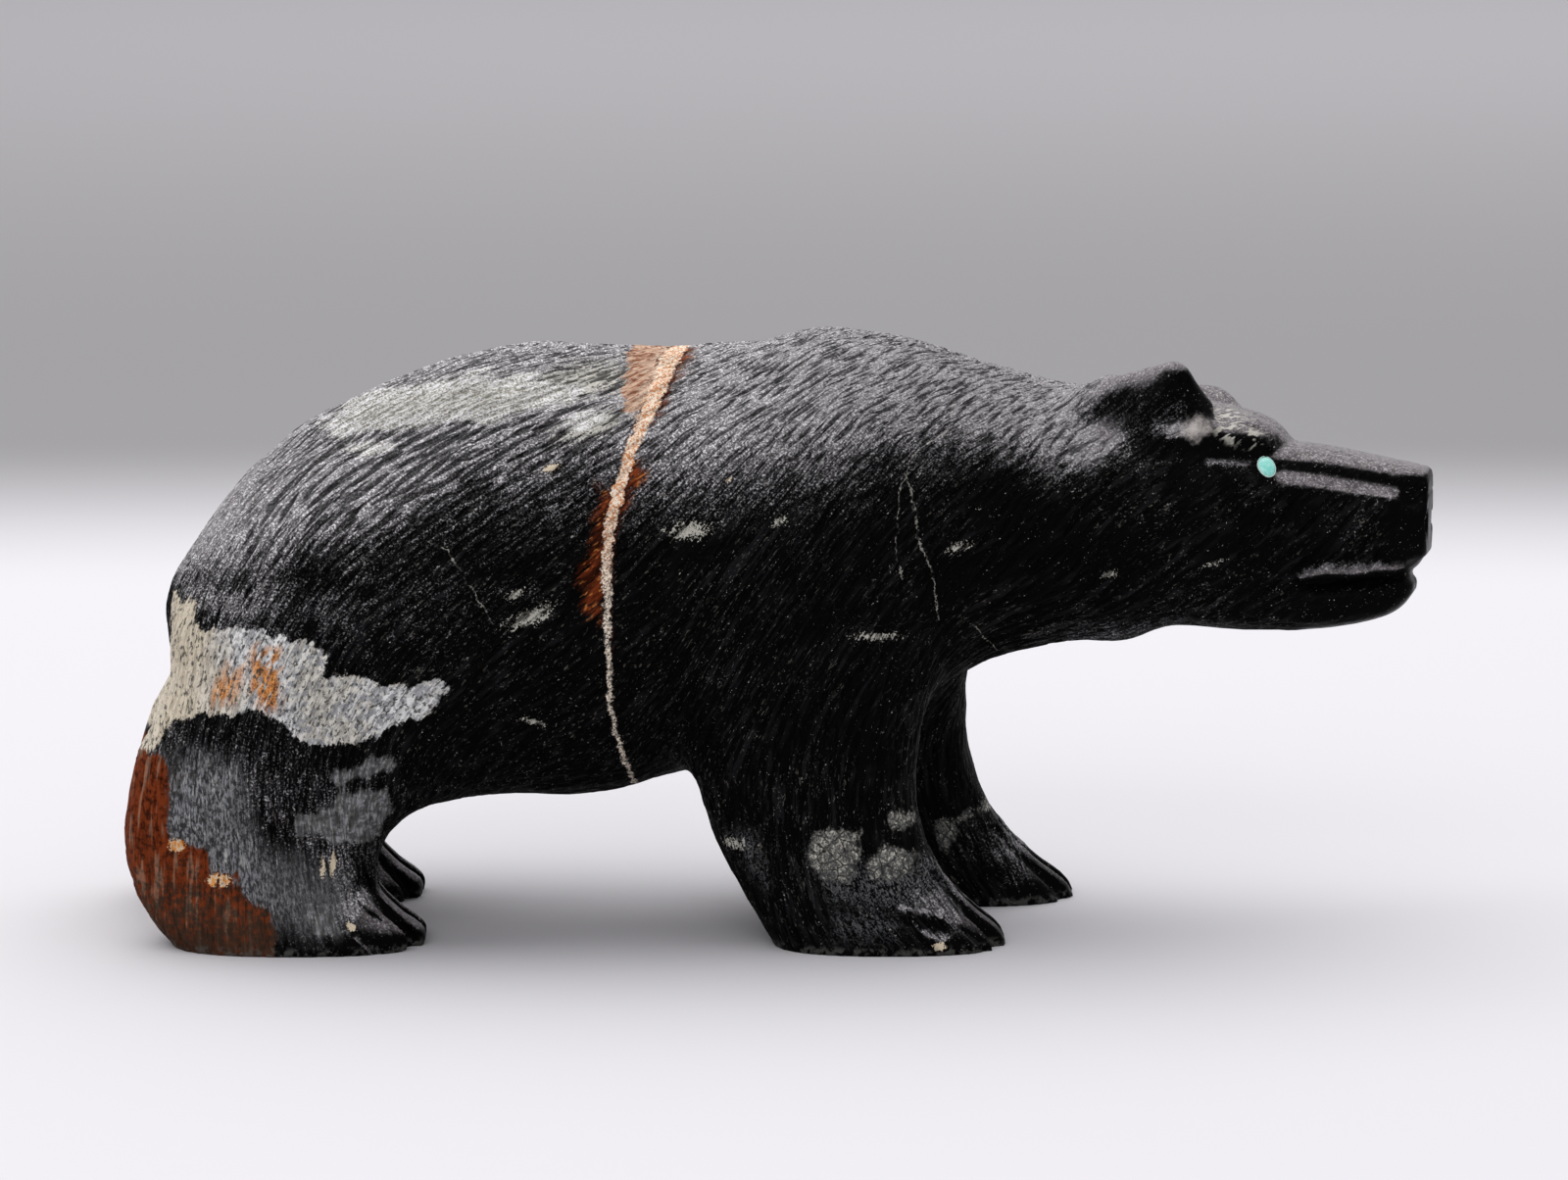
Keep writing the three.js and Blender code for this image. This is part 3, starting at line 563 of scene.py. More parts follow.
# Lines scored in the head, in its own frame in shares of the length: points [x, z], half width, depth
SCORED = [
    ([[33, 36.5], [35, 36.7], [36.8, 36.3]], 0.24, 0.16),
    ([[48.3, 33.4], [49, 33.2], [49.7, 33.5], [50, 34]], 0.2, 0.1),
    ([[35, 24.6], [41, 24.5], [45, 25.3], [47.6, 27.2]], 0.22, 0.12),
    ([[36, 25.5], [41.5, 25.4], [44.6, 26], [46.6, 27.3]], 0.2, 0.09),
    ([[38, 23.9], [42, 23.9], [46, 24.8], [48.4, 26.8]], 0.2, 0.1),
]


def polyline_distance(x, z, points):
    """How far points of the side view are from a line through the given ones"""
    nearest = np.full(len(x), np.inf)
    for (ax, az), (bx, bz) in zip(points, points[1:]):
        run_x = bx - ax
        run_z = bz - az
        t = np.clip(((x - ax) * run_x + (z - az) * run_z) / (run_x ** 2 + run_z ** 2), 0, 1)
        nearest = np.minimum(nearest, np.hypot(x - ax - t * run_x, z - az - t * run_z))
    return nearest


def scored_cuts(p):
    """How deep the scored lines of the face cut at each point, in metres"""
    x, _, z = to_head((p - DRAWING_MOVE) / SHARE).T
    cuts = np.zeros(len(p))
    for points, half_width, depth in SCORED:
        blade = np.maximum(1 - polyline_distance(x, z, points) / half_width, 0)
        cuts = np.maximum(cuts, depth * SHARE * blade)
    return cuts


SWELL_WAVES = (9.5, 7.5, 6.0, 4.6, 3.7, 3.0)        # in millimetres
SWELL_HEIGHT = 0.007        # as a share of the wave's length


def hand_swells(settings, p):
    """Slow swells and hollows that a hand tool leaves where the stone isn't polished, in metres"""
    draws = np.random.default_rng(settings.seed + 1)
    height = 0
    for wave in SWELL_WAVES:
        way = draws.normal(size=3)
        way *= 2 * math.pi / (wave * MM * np.linalg.norm(way))
        height = height + SWELL_HEIGHT * wave * MM * np.sin(p @ way + draws.uniform(0, 6))
    return height * (1 - polish(p))


# Colours in the stone: outlines seen from the side, [x, z] in millimetres in the part's frame
HAUNCH_BAND = [
    [-60, 22.5], [-53.9, 24], [-53, 26], [-52.7, 30.2], [-50.5, 30.7], [-49.6, 27.8], [-47.4, 28.9],
    [-42.1, 28.5], [-38.9, 27.3], [-38.7, 25.3], [-36.2, 25], [-32.9, 24.1], [-28.7, 24.6], [-28.3, 23.6],
    [-29.6, 21.9], [-32.9, 20.3], [-35.5, 19.2], [-38.8, 18.9], [-40.5, 19.4], [-42.2, 20.9], [-44.6, 21.8],
    [-48.2, 21.4], [-52.3, 20.4], [-54.5, 17.2], [-60, 15],
]
HAUNCH_BAND_LEFT = [
    [-60, 27.5], [-52, 27], [-46, 25.6], [-41, 25], [-37, 22.4], [-42, 20.6], [-48, 20.4], [-54, 17],
    [-60, 15],
]
ORANGE_STREAKS = [
    [[-46.9, 25.4], [-46, 25.5], [-45.8, 24.2], [-46.8, 22.6], [-48.5, 22.3], [-48.3, 23.5]],
    [[-44.8, 27.2], [-42.6, 27.4], [-42.3, 25], [-42.6, 22.2], [-44.2, 21.6], [-45, 23.4]],
]
HEEL = [
    [-60, 17.5], [-52.7, 17.3], [-52.5, 10.1], [-50.7, 10.1], [-50.6, 9.5], [-49, 9.5], [-48.6, 7.1],
    [-46.9, 7.1], [-46.8, 5.5], [-45.6, 4.9], [-43.9, 3.9], [-43.5, 2], [-43.4, -1], [-54, -1], [-60, 6],
]
HEEL_LEFT = [[-60, 14.5], [-54, 15.5], [-52, 10.5], [-50.5, 5.5], [-48.5, 3.2], [-48.5, -1], [-60, -1]]
SPECKLED_LEG = [
    [-54.5, 17], [-50, 17.6], [-46.5, 17], [-45.6, 13], [-44.4, 9.2], [-40.8, 8.5], [-37.6, 6.4],
    [-37.9, 2.4], [-41.5, 2], [-45.1, 3], [-48.9, 5.2], [-53.5, 9.2],
]
PALE_RIGHT = [
    [[-39.3, 12.7], [-37.7, 14.4], [-33.5, 14.7], [-33.4, 12.2], [-34.8, 9.4], [-37.9, 9.8], [-41.6, 11],
     [-41.4, 12.2]],
    [[-38.5, 16.1], [-33.4, 17.9], [-33.1, 17], [-37.7, 15.2]],
    [[-40.6, 3.5], [-39, 3.9], [-37.9, 2.3], [-39.2, 1.9]],
    [[3.4, 10.7], [5, 11.3], [7.3, 10.9], [7.4, 8.7], [6.6, 6.8], [4.2, 6.2], [3.2, 8.1]],
    [[8.1, 8.6], [9.3, 9.6], [11.9, 8.6], [12.3, 7.3], [10.6, 6.5], [8, 7]],
    [[10.1, 12.2], [11.9, 12], [11.9, 10.5], [10.6, 10.9]],
]
RAKED_RIGHT = [
    [[3.2, 8], [12.6, 7.4], [15, 5.6], [13.8, 4.6], [9.8, 4.3], [4.5, 4.9]],
    [[5.2, 3.6], [10.6, 3.4], [10.6, 1.6], [5.2, 1.6]],
    [[-3.6, 10.4], [-1.9, 10.3], [-1.2, 6.4], [-0.8, 5.9], [-2.4, 7.4]],
]
PALE_LEFT = [
    [[14.4, 7.6], [15.9, 8], [16.3, 6.2], [15.2, 5]],
    [[15.8, 7.5], [18.3, 8.5], [18.9, 9], [20.8, 9.3], [20.4, 8.4], [18.9, 7.8], [18.4, 8.2], [15.8, 7.3]],
    [[1.5, 31], [4.5, 33.6], [8.5, 32.2], [7.6, 29.4], [4, 28.4]],
    [[-36, 13.6], [-32.6, 14.6], [-31.8, 12], [-35, 10.2]],
]
BACK_PATCHES = [
    [[-40, 44.8], [-35.5, 47.6], [-30.9, 48.7], [-26.6, 49.6], [-23.1, 49.7], [-19.6, 49.3], [-16.2, 48.7],
     [-17.5, 47.8], [-21.2, 47], [-24.6, 46], [-27.2, 46.2], [-30.6, 45.7], [-34.9, 44.9], [-38, 44.4]],
    [[-37.9, 44], [-33.6, 44.6], [-32.7, 43.7], [-35.7, 43.2]],
    [[-18.3, 46.1], [-16.2, 47], [-14.3, 46.6], [-16.1, 45.5]],
]
# Small spots on the right side, two on the back painted sheen: [x, z, half length, half height, tilt in
# degrees]
PALE_SPOTS = [
    [-7.3, 37.3, 1.5, 0.65, 5], [-21.2, 29.9, 1.8, 0.6, 25], [-22.4, 31.9, 0.9, 0.3, 25],
    # The next two spots are painted sheen beside the back patch
    [-15.9, 45.8, 3, 0.8, 16], [-16.5, 49.3, 4, 1.1, 4],
    [-3.5, 9.5, 0.9, 0.4, 0], [38, 33.7, 0.8, 0.2, 18], [-20.9, 20.3, 1, 0.25, -20],
    [15.9, 35.5, 0.8, 0.35, 10], [0.5, 38.2, 0.6, 0.3, 20], [8.7, 28.1, 2, 0.25, -4],
    [29, 32.8, 0.6, 0.3, 10],
]
CREAM_SPOTS = [
    [-19.1, 42.5, 0.8, 0.32, 10], [-3.9, 41.5, 0.35, 0.25, 0], [14.3, 0.8, 0.6, 0.35, 0],
    [-51.9, 9.6, 0.8, 0.6, 0], [-48.2, 6.6, 1.1, 0.6, 0], [-36.8, 2.5, 0.5, 0.35, -30],
    [-39.3, 7.7, 1, 0.25, 88], [-38.4, 7.8, 1.1, 0.28, 84],
]
CROWN_BLOTCH = [
    [35.4, 45.1], [35.8, 46], [36.7, 46.4], [37.6, 46], [37.9, 45.2], [37.1, 44.7], [36.1, 44.6],
]
CROWN_SPECKS = [[38.2, 47.2], [40.2, 46.2], [42.2, 44.9], [42.0, 43.9], [39.4, 43.9], [38.2, 44.6]]
ROSE_FIELD = [
    [-12.2, 53], [-8.4, 53], [-9.8, 49.6], [-10.8, 47.8], [-11.6, 46.3], [-12.9, 46.9], [-13.2, 48.4],
    [-13, 49.8],
]
RUST_PATCHES = [
    [[-9.4, 53], [-6.6, 53], [-7, 51], [-9, 48.9], [-9.8, 46.8], [-10.6, 46.2], [-10.4, 48.4]],
    [[-12.9, 43.3], [-11.2, 43.1], [-11.1, 41.7], [-12.1, 40.8], [-12.7, 39], [-13.6, 37.6], [-13.7, 40.2]],
    [[-15.3, 41.1], [-14, 41], [-14, 39.4], [-14.7, 36], [-14.9, 29.2], [-16.3, 29.7], [-16.8, 32.5],
     [-16.9, 34.6], [-15.8, 35], [-15.8, 37.2], [-15.2, 38.9]],
]
# Where the vein's sheet meets each side: [z, x]
VEIN_RIGHT = [
    [10, -12], [14.4, -12.6], [17.4, -13.5], [20.8, -14.1], [24.6, -14.3], [28.3, -14.4], [32.4, -14.5],
    [34.1, -14.5], [37.4, -14.2], [40.5, -13.5], [43.5, -12.6], [46.5, -11.1], [49.6, -9.7], [52, -8.6],
]
VEIN_LEFT = [
    [10, -12], [15, -11], [20, -9], [25, -8.4], [30, -9.2], [35, -8.4], [40, -6.8], [44, -7],
    [48, -8], [52, -8.2],
]
# Hairline cracks on the right side: [x, z]
CRACKS = [
    [[15.7, 47.9], [14.9, 45.2], [12.2, 43.8], [11.3, 42.2], [11.8, 40.2], [12.4, 36.4], [13.5, 33.4],
     [14.2, 29]],
    [[-31.4, 37], [-28.2, 35.8], [-26.1, 32.5], [-24.1, 29.1]],
]
BRANCH_CRACKS = [
    [[11.6, 42], [10.7, 40.6], [10.5, 35.7], [11.2, 31.5]],
    [[17, 28.5], [19.7, 25]],
]


def outline_distance(x, z, outline):
    """Distance to a closed outline of the side view, below zero inside it"""
    closed = outline + outline[:1]
    inside = np.zeros(len(x), bool)
    for (ax, az), (bx, bz) in zip(closed, closed[1:]):
        if az != bz:
            crosses = (az > z) != (bz > z)
            inside ^= crosses & (x < ax + (z - az) * (bx - ax) / (bz - az))
    return np.where(inside, -1, 1) * polyline_distance(x, z, closed)


# In millimetres: what stands for no patch and no crack near, and how far a patch of one side
# reaches past the middle of the bear
NO_PATCH = 20.0
NO_CRACK = 9.0
SIDE_OVERLAP = 0.5


def patches_distance(p, right, left):
    """Distance in millimetres to the nearest patch, of each side's own ones"""
    x, y, z = p.T / MM
    nearest = np.full(len(p), NO_PATCH)
    for outlines, side in ((right, RIGHT), (left, LEFT)):
        for outline in outlines:
            reach = np.maximum(outline_distance(x, z, outline), -side * y - SIDE_OVERLAP)
            nearest = np.minimum(nearest, reach)
    return nearest


SPOT_REACH = 2.0


def spots_nearness(p, spots):
    """How near a spot of the right side each point is: 1 in its middle, 0 at twice its reach"""
    x, y, z = p.T / MM
    nearest = np.full(len(p), SPOT_REACH)
    for at_x, at_z, half_length, half_height, tilt in spots:
        cos, sin = math.cos(math.radians(tilt)), math.sin(math.radians(tilt))
        u = ((x - at_x) * cos + (z - at_z) * sin) / half_length
        v = ((z - at_z) * cos - (x - at_x) * sin) / half_height
        nearest = np.minimum(nearest, np.where(y < 0, np.hypot(u, v), SPOT_REACH))
    return 1 - nearest / SPOT_REACH


def vein_distance(p):
    """Distance in millimetres ahead of the vein's sheet, below zero behind it"""
    x, y, z = p.T / MM
    right_z, right_x = np.array(VEIN_RIGHT, float).T
    left_z, left_x = np.array(VEIN_LEFT, float).T
    sheet_right = np.interp(z, right_z, right_x)
    sheet_left = np.interp(z, left_z, left_x)
    return x - sheet_right - smooth_step(y, -4, 4) * (sheet_left - sheet_right)


def crack_distance(p, cracks):
    """Distance in millimetres beside the nearest hairline crack, below zero behind it"""
    x, y, z = p.T / MM
    nearest = np.full(len(p), NO_CRACK)
    for points in cracks:
        line_x, line_z = np.array(points, float)[::-1].T
        beside = x - np.interp(z, line_z, line_x)
        beside[(z < line_z[0]) | (z > line_z[-1]) | (y > 0)] = NO_CRACK
        nearest = np.where(np.abs(beside) < np.abs(nearest), beside, nearest)
    return nearest


# Clouds of greyer stone and of painted light: [x, z, half width, half height, how grey] in millimetres,
# seen from the side
GREY_AND_LIT_CLOUDS = [
    [-48, 38, 9, 8, 0.22], [-33, 43, 12, 5.5, 0.13], [-44, 31, 10, 6, 0.17], [-28, 31, 9, 6, 0.13],
    [-46, 15, 8, 8, 0.25], [-37, 9, 5, 7, 0.25], [-40.5, 5, 3, 3, 0.3], [-20, 39, 12, 4, 0.14],
    [2, 39.5, 9, 4, 0.07], [-9, 40.5, 7, 4, 0.1],
    [6, 8, 9, 4, 0.08], [14.3, 3.8, 2, 0.7, 0.08], [28.2, 45.4, 3.4, 2.6, 0.3], [50.5, 36.5, 4, 3, 0.12],
    [34.6, 47.2, 1.5, 0.8, 0.35], [33.6, 45.4, 1.8, 1.1, 0.4], [30, 26.5, 8, 1.8, 0.3],
    [36, 28.5, 5, 2.5, 0.16],
]

# Edges of the face that catch the light, in the head's own frame in shares of the length:
# points [x, z], half width, how grey
LIT_EDGES = [
    ([[39.3, 35.3], [41, 35.15], [46.8, 34.35], [47.6, 34.2]], 0.72, 0.6),
    ([[40.8, 27.7], [42.6, 28.1], [44.6, 28.05], [46.6, 28.4], [48.4, 28.4]], 0.32, 0.6),
    ([[33.9, 36.45], [36.9, 36.2]], 0.3, 0.45),
    ([[24.4, 37.3], [27, 39.7], [29.6, 41.8]], 1.5, 0.22),
]

# Below this line of the head, in its own frame in shares of the length, the cheek is painted in shade: [x,
# z]
CHEEK_SHADE_LINE = [
    [20, 33], [25.7, 36.6], [29.6, 40.6], [31.5, 38.4], [33, 37.7], [38, 36.9], [40, 33.7], [48, 33.1],
]


def painted_shade_places(p):
    """Where painted shade holds back the painted top light: cheek, jaw, nose below its tip, and front feet
    """
    drawn = (p - DRAWING_MOVE) / SHARE
    x, _, z = to_head(drawn).T
    line_x, line_z = np.array(CHEEK_SHADE_LINE).T
    cheek = 0.75 * smooth_step(np.interp(x, line_x, line_z) - z, 0, 1) * smooth_step(x, 19, 26)
    jaw = 0.8 * smooth_step(z - 0.1 * (x - 41), 27.5, 27.2) * smooth_step(x, 36, 39)
    nose = 0.85 * smooth_step(x, 47.4, 48.2) * smooth_step(z, 35.7, 35.1)
    foot = smooth_step(drawn[:, 2], 14, 9) * smooth_step(drawn[:, 0], -12, -8)
    foot *= 0.25 + 0.15 * smooth_step(drawn[:, 1], 0, 4)
    return np.maximum.reduce([cheek, jaw, nose, foot])


def grey_and_top_light(p):
    """How grey: painted top light where the stone faces up, held back in painted shade, lit edges and a few
    clouds
    """
    x, z = p[:, 0] / MM, p[:, 2] / MM
    # Painted top light where the stone faces up, held back where painted shade falls
    grey = smooth_step(way_out(p)[:, 2], 0.16, 0.88) * (1 - painted_shade_places(p))
    for at_x, at_z, half_width, half_height, amount in GREY_AND_LIT_CLOUDS:
        grey = grey + amount * np.exp(-((x - at_x) / half_width) ** 2 - ((z - at_z) / half_height) ** 2)
    head_x, _, head_z = to_head((p - DRAWING_MOVE) / SHARE).T
    for points, half_width, amount in LIT_EDGES:
        distance = polyline_distance(head_x, head_z, points)
        grey = grey + amount * smooth_step(distance, half_width, half_width / 3)
    return np.minimum(grey, 1)


# Outlines of the right side and of the left, by the name that the stone's material reads
PATCHES = {
    "granite": ([HAUNCH_BAND], [HAUNCH_BAND_LEFT]),
    "orange": (ORANGE_STREAKS, []),
    "heel": ([HEEL], [HEEL_LEFT]),
    "speckled": ([SPECKLED_LEG], [SPECKLED_LEG]),
    "pale": (PALE_RIGHT, PALE_LEFT),
    "raked": (RAKED_RIGHT, []),
    "back": (BACK_PATCHES, []),
    "blotch": ([CROWN_BLOTCH], []),
    "specks": ([CROWN_SPECKS], []),
    "rose": ([ROSE_FIELD], [ROSE_FIELD]),
    "rust": (RUST_PATCHES, []),
}
DEEPEST_GROOVE = 0.4    # in millimetres, of what the material reads


def stone_signs(settings, p):
    """The named values that the stone's material reads at each point of the mesh"""
    along, across = combed(p)
    signs = {
        "along": along,
        "across": across,
        "groove": np.clip((hand_swells(settings, p) - stone(p)) / MM, 0, DEEPEST_GROOVE),
        # The grey sign: greyer stone, painted top light and painted shade
        "grey": grey_and_top_light(p),
        "polish": polish(p),
        "pale_spots": spots_nearness(p, PALE_SPOTS),
        "cream_spots": spots_nearness(p, CREAM_SPOTS),
        "vein": vein_distance(p),
        "crack": crack_distance(p, CRACKS),
        "branch_crack": crack_distance(p, BRANCH_CRACKS),
    }
    for name, (right, left) in PATCHES.items():
        signs[name] = patches_distance(p, right, left)
    return signs


# Meshes

def read_points(mesh):
    """The places of a mesh's points"""
    flat = np.empty(3 * len(mesh.vertices), np.float32)
    mesh.vertices.foreach_get("co", flat)
    return flat.reshape(-1, 3).astype(float)


def write_points(mesh, p):
    """Moves a mesh's points."""
    mesh.vertices.foreach_set("co", p.astype(np.float32).ravel())
    mesh.update()


def finished_mesh(work, name):
    """The mesh of a bmesh, which is freed"""
    mesh = bpy.data.meshes.new(name)
    work.to_mesh(mesh)
    work.free()
    return mesh


def applied(mesh, kind, **settings):
    """The mesh that a modifier makes of a mesh"""
    holder = bpy.data.objects.new("holder", mesh)
    bpy.context.collection.objects.link(holder)
    modifier = holder.modifiers.new("work", kind)
    for name, value in settings.items():
        setattr(modifier, name, value)
    dependencies = bpy.context.evaluated_depsgraph_get()
    made = bpy.data.meshes.new_from_object(holder.evaluated_get(dependencies))
    bpy.data.objects.remove(holder)
    bpy.data.meshes.remove(mesh)
    return made


def plugged_blank(node, seats):
    """A copy of a node's solid with its eye sockets filled"""
    work = bmesh.new()
    work.from_mesh(node.data)
    bmesh.ops.remove_doubles(work, verts=work.verts, dist=1e-7)
    for pose in seats:
        plug = pose @ Matrix.Translation((0, 0, -PLUG_DEPTH))
        bmesh.ops.create_icosphere(work, subdivisions=3, radius=PLUG_RADIUS, matrix=plug)
    return finished_mesh(work, "blank")


def piece_of(mesh, name, *materials):
    """A piece of the object, smooth shaded, in the frame's place"""
    piece = bpy.data.objects.new(name, mesh)
    bpy.context.collection.objects.link(piece)
    mesh.materials.clear()
    for material in materials:
        mesh.materials.append(material)
    mesh.shade_smooth()
    return piece


EYE_BESIDE_HEAD = np.array([38.1, 14.0, 36.0])      # beside the left eye, in the head's own frame
EYE_LEAN = math.radians(20)     # the top of each inlay leans back
EYE_SEEK_STEPS = 60


def eye_pose(side):
    """Where an inlay sits: X along the head, Z out of the stone"""
    seat = from_head(EYE_BESIDE_HEAD * [[1, side, 1]]) * SHARE + DRAWING_MOVE
    inwards = -side * HEAD_TURN[:, 1]
    for _ in range(EYE_SEEK_STEPS):
        seat = seat + max(stone(seat)[0], 0) / 2 * inwards
    outwards = way_out(seat)[0]
    upwards = np.cross(outwards, HEAD_TURN[:, 0])
    upwards /= np.linalg.norm(upwards)
    forwards = np.cross(upwards, outwards)
    pose = np.eye(4)
    pose[:3, :3] = np.stack([forwards, upwards, outwards], 1)
    pose[:3, 3] = seat[0]
    return Matrix(pose.tolist()) @ Matrix.Rotation(-side * EYE_LEAN, 4, "Z")


def carved_mesh(settings):
    """The whole bear, cut with fur from a fine even net"""
    net = settings.net
    seats = [eye_pose(side) for side in (RIGHT, LEFT)]
    blank = plugged_blank(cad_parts["bear_body"], seats)
    mesh = applied(blank, "REMESH", mode="VOXEL", voxel_size=net)
    draws = np.random.default_rng(settings.seed)
    p = settle(read_points(mesh), net)
    out = way_out(p)
    lift = hand_swells(settings, p)
    cuts = np.maximum(fur_cuts(settings, p, out, draws), scored_cuts(p))
    above_sole = smooth_step(p[:, 2] / MM, 0.1, 0.6)
    p += out * ((lift - cuts) * above_sole)[:, None]
    write_points(mesh, p)
    triangles = sum(len(face.vertices) - 2 for face in mesh.polygons)
    ratio = min(MOST_TRIANGLES / triangles, 1)
    mesh = applied(mesh, "DECIMATE", ratio=ratio, use_collapse_triangulate=True)
    for name, values in stone_signs(settings, read_points(mesh)).items():
        sign = mesh.attributes.new(name, "FLOAT", "POINT")
        sign.data.foreach_set("value", values.astype(np.float32))
    return mesh


TURN_STEPS = 48


def turned_oval(profile, width_share, pose):
    """A closed form turned from [radius, height] points and narrowed along its X"""
    work = bmesh.new()
    rings = []
    for radius, height in profile:
        if radius == 0:
            rings.append([work.verts.new(pose @ Vector((0, 0, height)))])
            continue
        turns = [2 * math.pi * step / TURN_STEPS for step in range(TURN_STEPS)]
        spots = [Vector((radius * width_share * math.cos(a), radius * math.sin(a), height)) for a in turns]
        rings.append([work.verts.new(pose @ spot) for spot in spots])
    for inner, outer in zip(rings, rings[1:]):
        for step in range(TURN_STEPS):
            places = [(inner, step), (outer, step), (outer, step + 1), (inner, step + 1)]
            corners = [ring[place % len(ring)] for ring, place in places]
            work.faces.new(dict.fromkeys(corners))
    bmesh.ops.recalc_face_normals(work, faces=work.faces)
    return finished_mesh(work, "turned")


# Shader maths

def sum_method(operation, swapped=False):
    """A method that turns one of Python's sums on a signal into a Math node"""
    def method(self, other):
        first, second = (other, self) if swapped else (self, other)
        return self.nodes.add("ShaderNodeMath", {"operation": operation}, {0: first, 1: second})
    return method


class Signal:
    """A socket that varies over a surface. Python's sums on it become Math nodes."""

    __add__ = sum_method("ADD")
    __radd__ = sum_method("ADD", swapped=True)
    __sub__ = sum_method("SUBTRACT")
    __rsub__ = sum_method("SUBTRACT", swapped=True)
    __mul__ = sum_method("MULTIPLY")
    __rmul__ = sum_method("MULTIPLY", swapped=True)
    __truediv__ = sum_method("DIVIDE")
    at_least = sum_method("MAXIMUM")

    def __init__(self, nodes, socket):
        self.nodes = nodes
        self.socket = socket

    def __abs__(self):
        return self.nodes.add("ShaderNodeMath", {"operation": "ABSOLUTE"}, {0: self})

    def rise(self, low, high):
        """A smooth step from 0 to 1 as the signal goes from low to high"""
        values = {"Value": self, "From Min": low, "From Max": high}
        return self.nodes.add("ShaderNodeMapRange", {"interpolation_type": "SMOOTHSTEP"}, values)


class Nodes:
    """The node tree of a material or world, built one call a node"""

    def __init__(self, owner):
        owner.use_nodes = True
        self.tree = owner.node_tree
        self.tree.nodes.clear()

    def add(self, kind, settings=None, values=None, output=0):
        """Adds a node, sets it up, fills or links its sockets, and gives one output."""
        node = self.tree.nodes.new(kind)
        for name, setting in (settings or {}).items():
            setattr(node, name, setting)
        for name, value in (values or {}).items():
            if isinstance(value, Signal):
                self.tree.links.new(value.socket, node.inputs[name])
            else:
                node.inputs[name].default_value = value
        return Signal(self, node.outputs[output]) if node.outputs else None

    def sign(self, name):
        """A value that the mesh carries at its points"""
        settings = {"attribute_type": "GEOMETRY", "attribute_name": name}
        return self.add("ShaderNodeAttribute", settings, output="Fac")

    def place(self):
        """The place in the part's frame, in millimetres"""
        metres = self.add("ShaderNodeTexCoord", output="Object")
        return self.add("ShaderNodeVectorMath", {"operation": "SCALE"}, {0: metres, "Scale": 1000})

    def noise(self, place, scale, detail=2, roughness=0.5):
        """Soft random grains, of which there are about as many to a millimetre as the scale says"""
        values = {"Vector": place, "Scale": scale, "Detail": detail, "Roughness": roughness}
        return self.add("ShaderNodeTexNoise", values=values)

    def mix(self, share, first, second):
        """A colour between two, which are signals or triples"""
        sides = [colour if isinstance(colour, Signal) else (*colour, 1) for colour in (first, second)]
        values = {0: share, 6: sides[0], 7: sides[1]}
        return self.add("ShaderNodeMix", {"data_type": "RGBA"}, values, output=2)

    def coated(self, colour, *coats):
        """A colour with others laid over it, each given as how much of it shows, and the colour"""
        for share, coat in coats:
            colour = self.mix(share, colour, coat)
        return colour

    def split(self, vector):
        """The X, Y and Z of a vector"""
        return [self.add("ShaderNodeSeparateXYZ", values={0: vector}, output=axis) for axis in range(3)]

    def joined(self, x, y, z):
        """The vector of three numbers"""
        return self.add("ShaderNodeCombineXYZ", values={0: x, 1: y, 2: z})

    def surface(self, **values):
        """Ends a material in a Principled shader with these sockets."""
        named = {name.replace("_", " "): value for name, value in values.items()}
        shader = self.add("ShaderNodeBsdfPrincipled", values=named)
        self.add("ShaderNodeOutputMaterial", values={"Surface": shader})


def material_named(name):
    """A new material and its empty node tree"""
    material = bpy.data.materials.new(name)
    return material, Nodes(material)


class Rock:
    """The noises the stone's colours share, and how much painted shade shows in the fur's grooves"""

    def __init__(self, nodes):
        self.nodes = nodes
        self.place = nodes.place()
        self.x, self.y, self.z = nodes.split(self.place)
        self.along = nodes.sign("along")
        self.across = nodes.sign("across")
        self.smooth = nodes.sign("polish")
        self.hairs = self.streaks(9, 2.6, 2)
        self.fine_hairs = self.streaks(7, 5.0, 2)
        self.flecks = self.streaks(3, 6.0, 1)
        self.grit = self.streaks(2.2, 5.5, 2, 0.7)
        self.grain = nodes.noise(self.place, 3.4, 3, 0.65)
        self.salt = nodes.noise(self.place, 5.2, 2, 0.7)
        self.mottle = nodes.noise(self.place, 1.6, 4, 0.7)
        self.clouds = nodes.noise(self.place, 0.2, 4, 0.6)
        self.ragged = (self.streaks(2.5, 0.9, 3, 0.6) - 0.5) * 2.4 + (self.grain - 0.5) * 0.9
        self.waver = (nodes.noise(self.place, 0.8, 3) - 0.5) * 0.9 + (self.grain - 0.5) * 0.9
        self.groove_shade_share = 1

    def streaks(self, stretch, scale, detail, roughness=0.5):
        """A noise drawn out along the fur"""
        drawn_out = self.nodes.joined(self.along / stretch, self.across, self.y * 0.3)
        return self.nodes.noise(drawn_out, scale, detail, roughness)

    def patch(self, name, softness=0.12):
        """Where a patch shows. The painted shade in the fur's grooves is weaker there."""
        shows = (self.nodes.sign(name) + self.ragged).rise(softness, -softness)
        self.groove_shade_share = self.groove_shade_share * (1 - shows)
        return shows


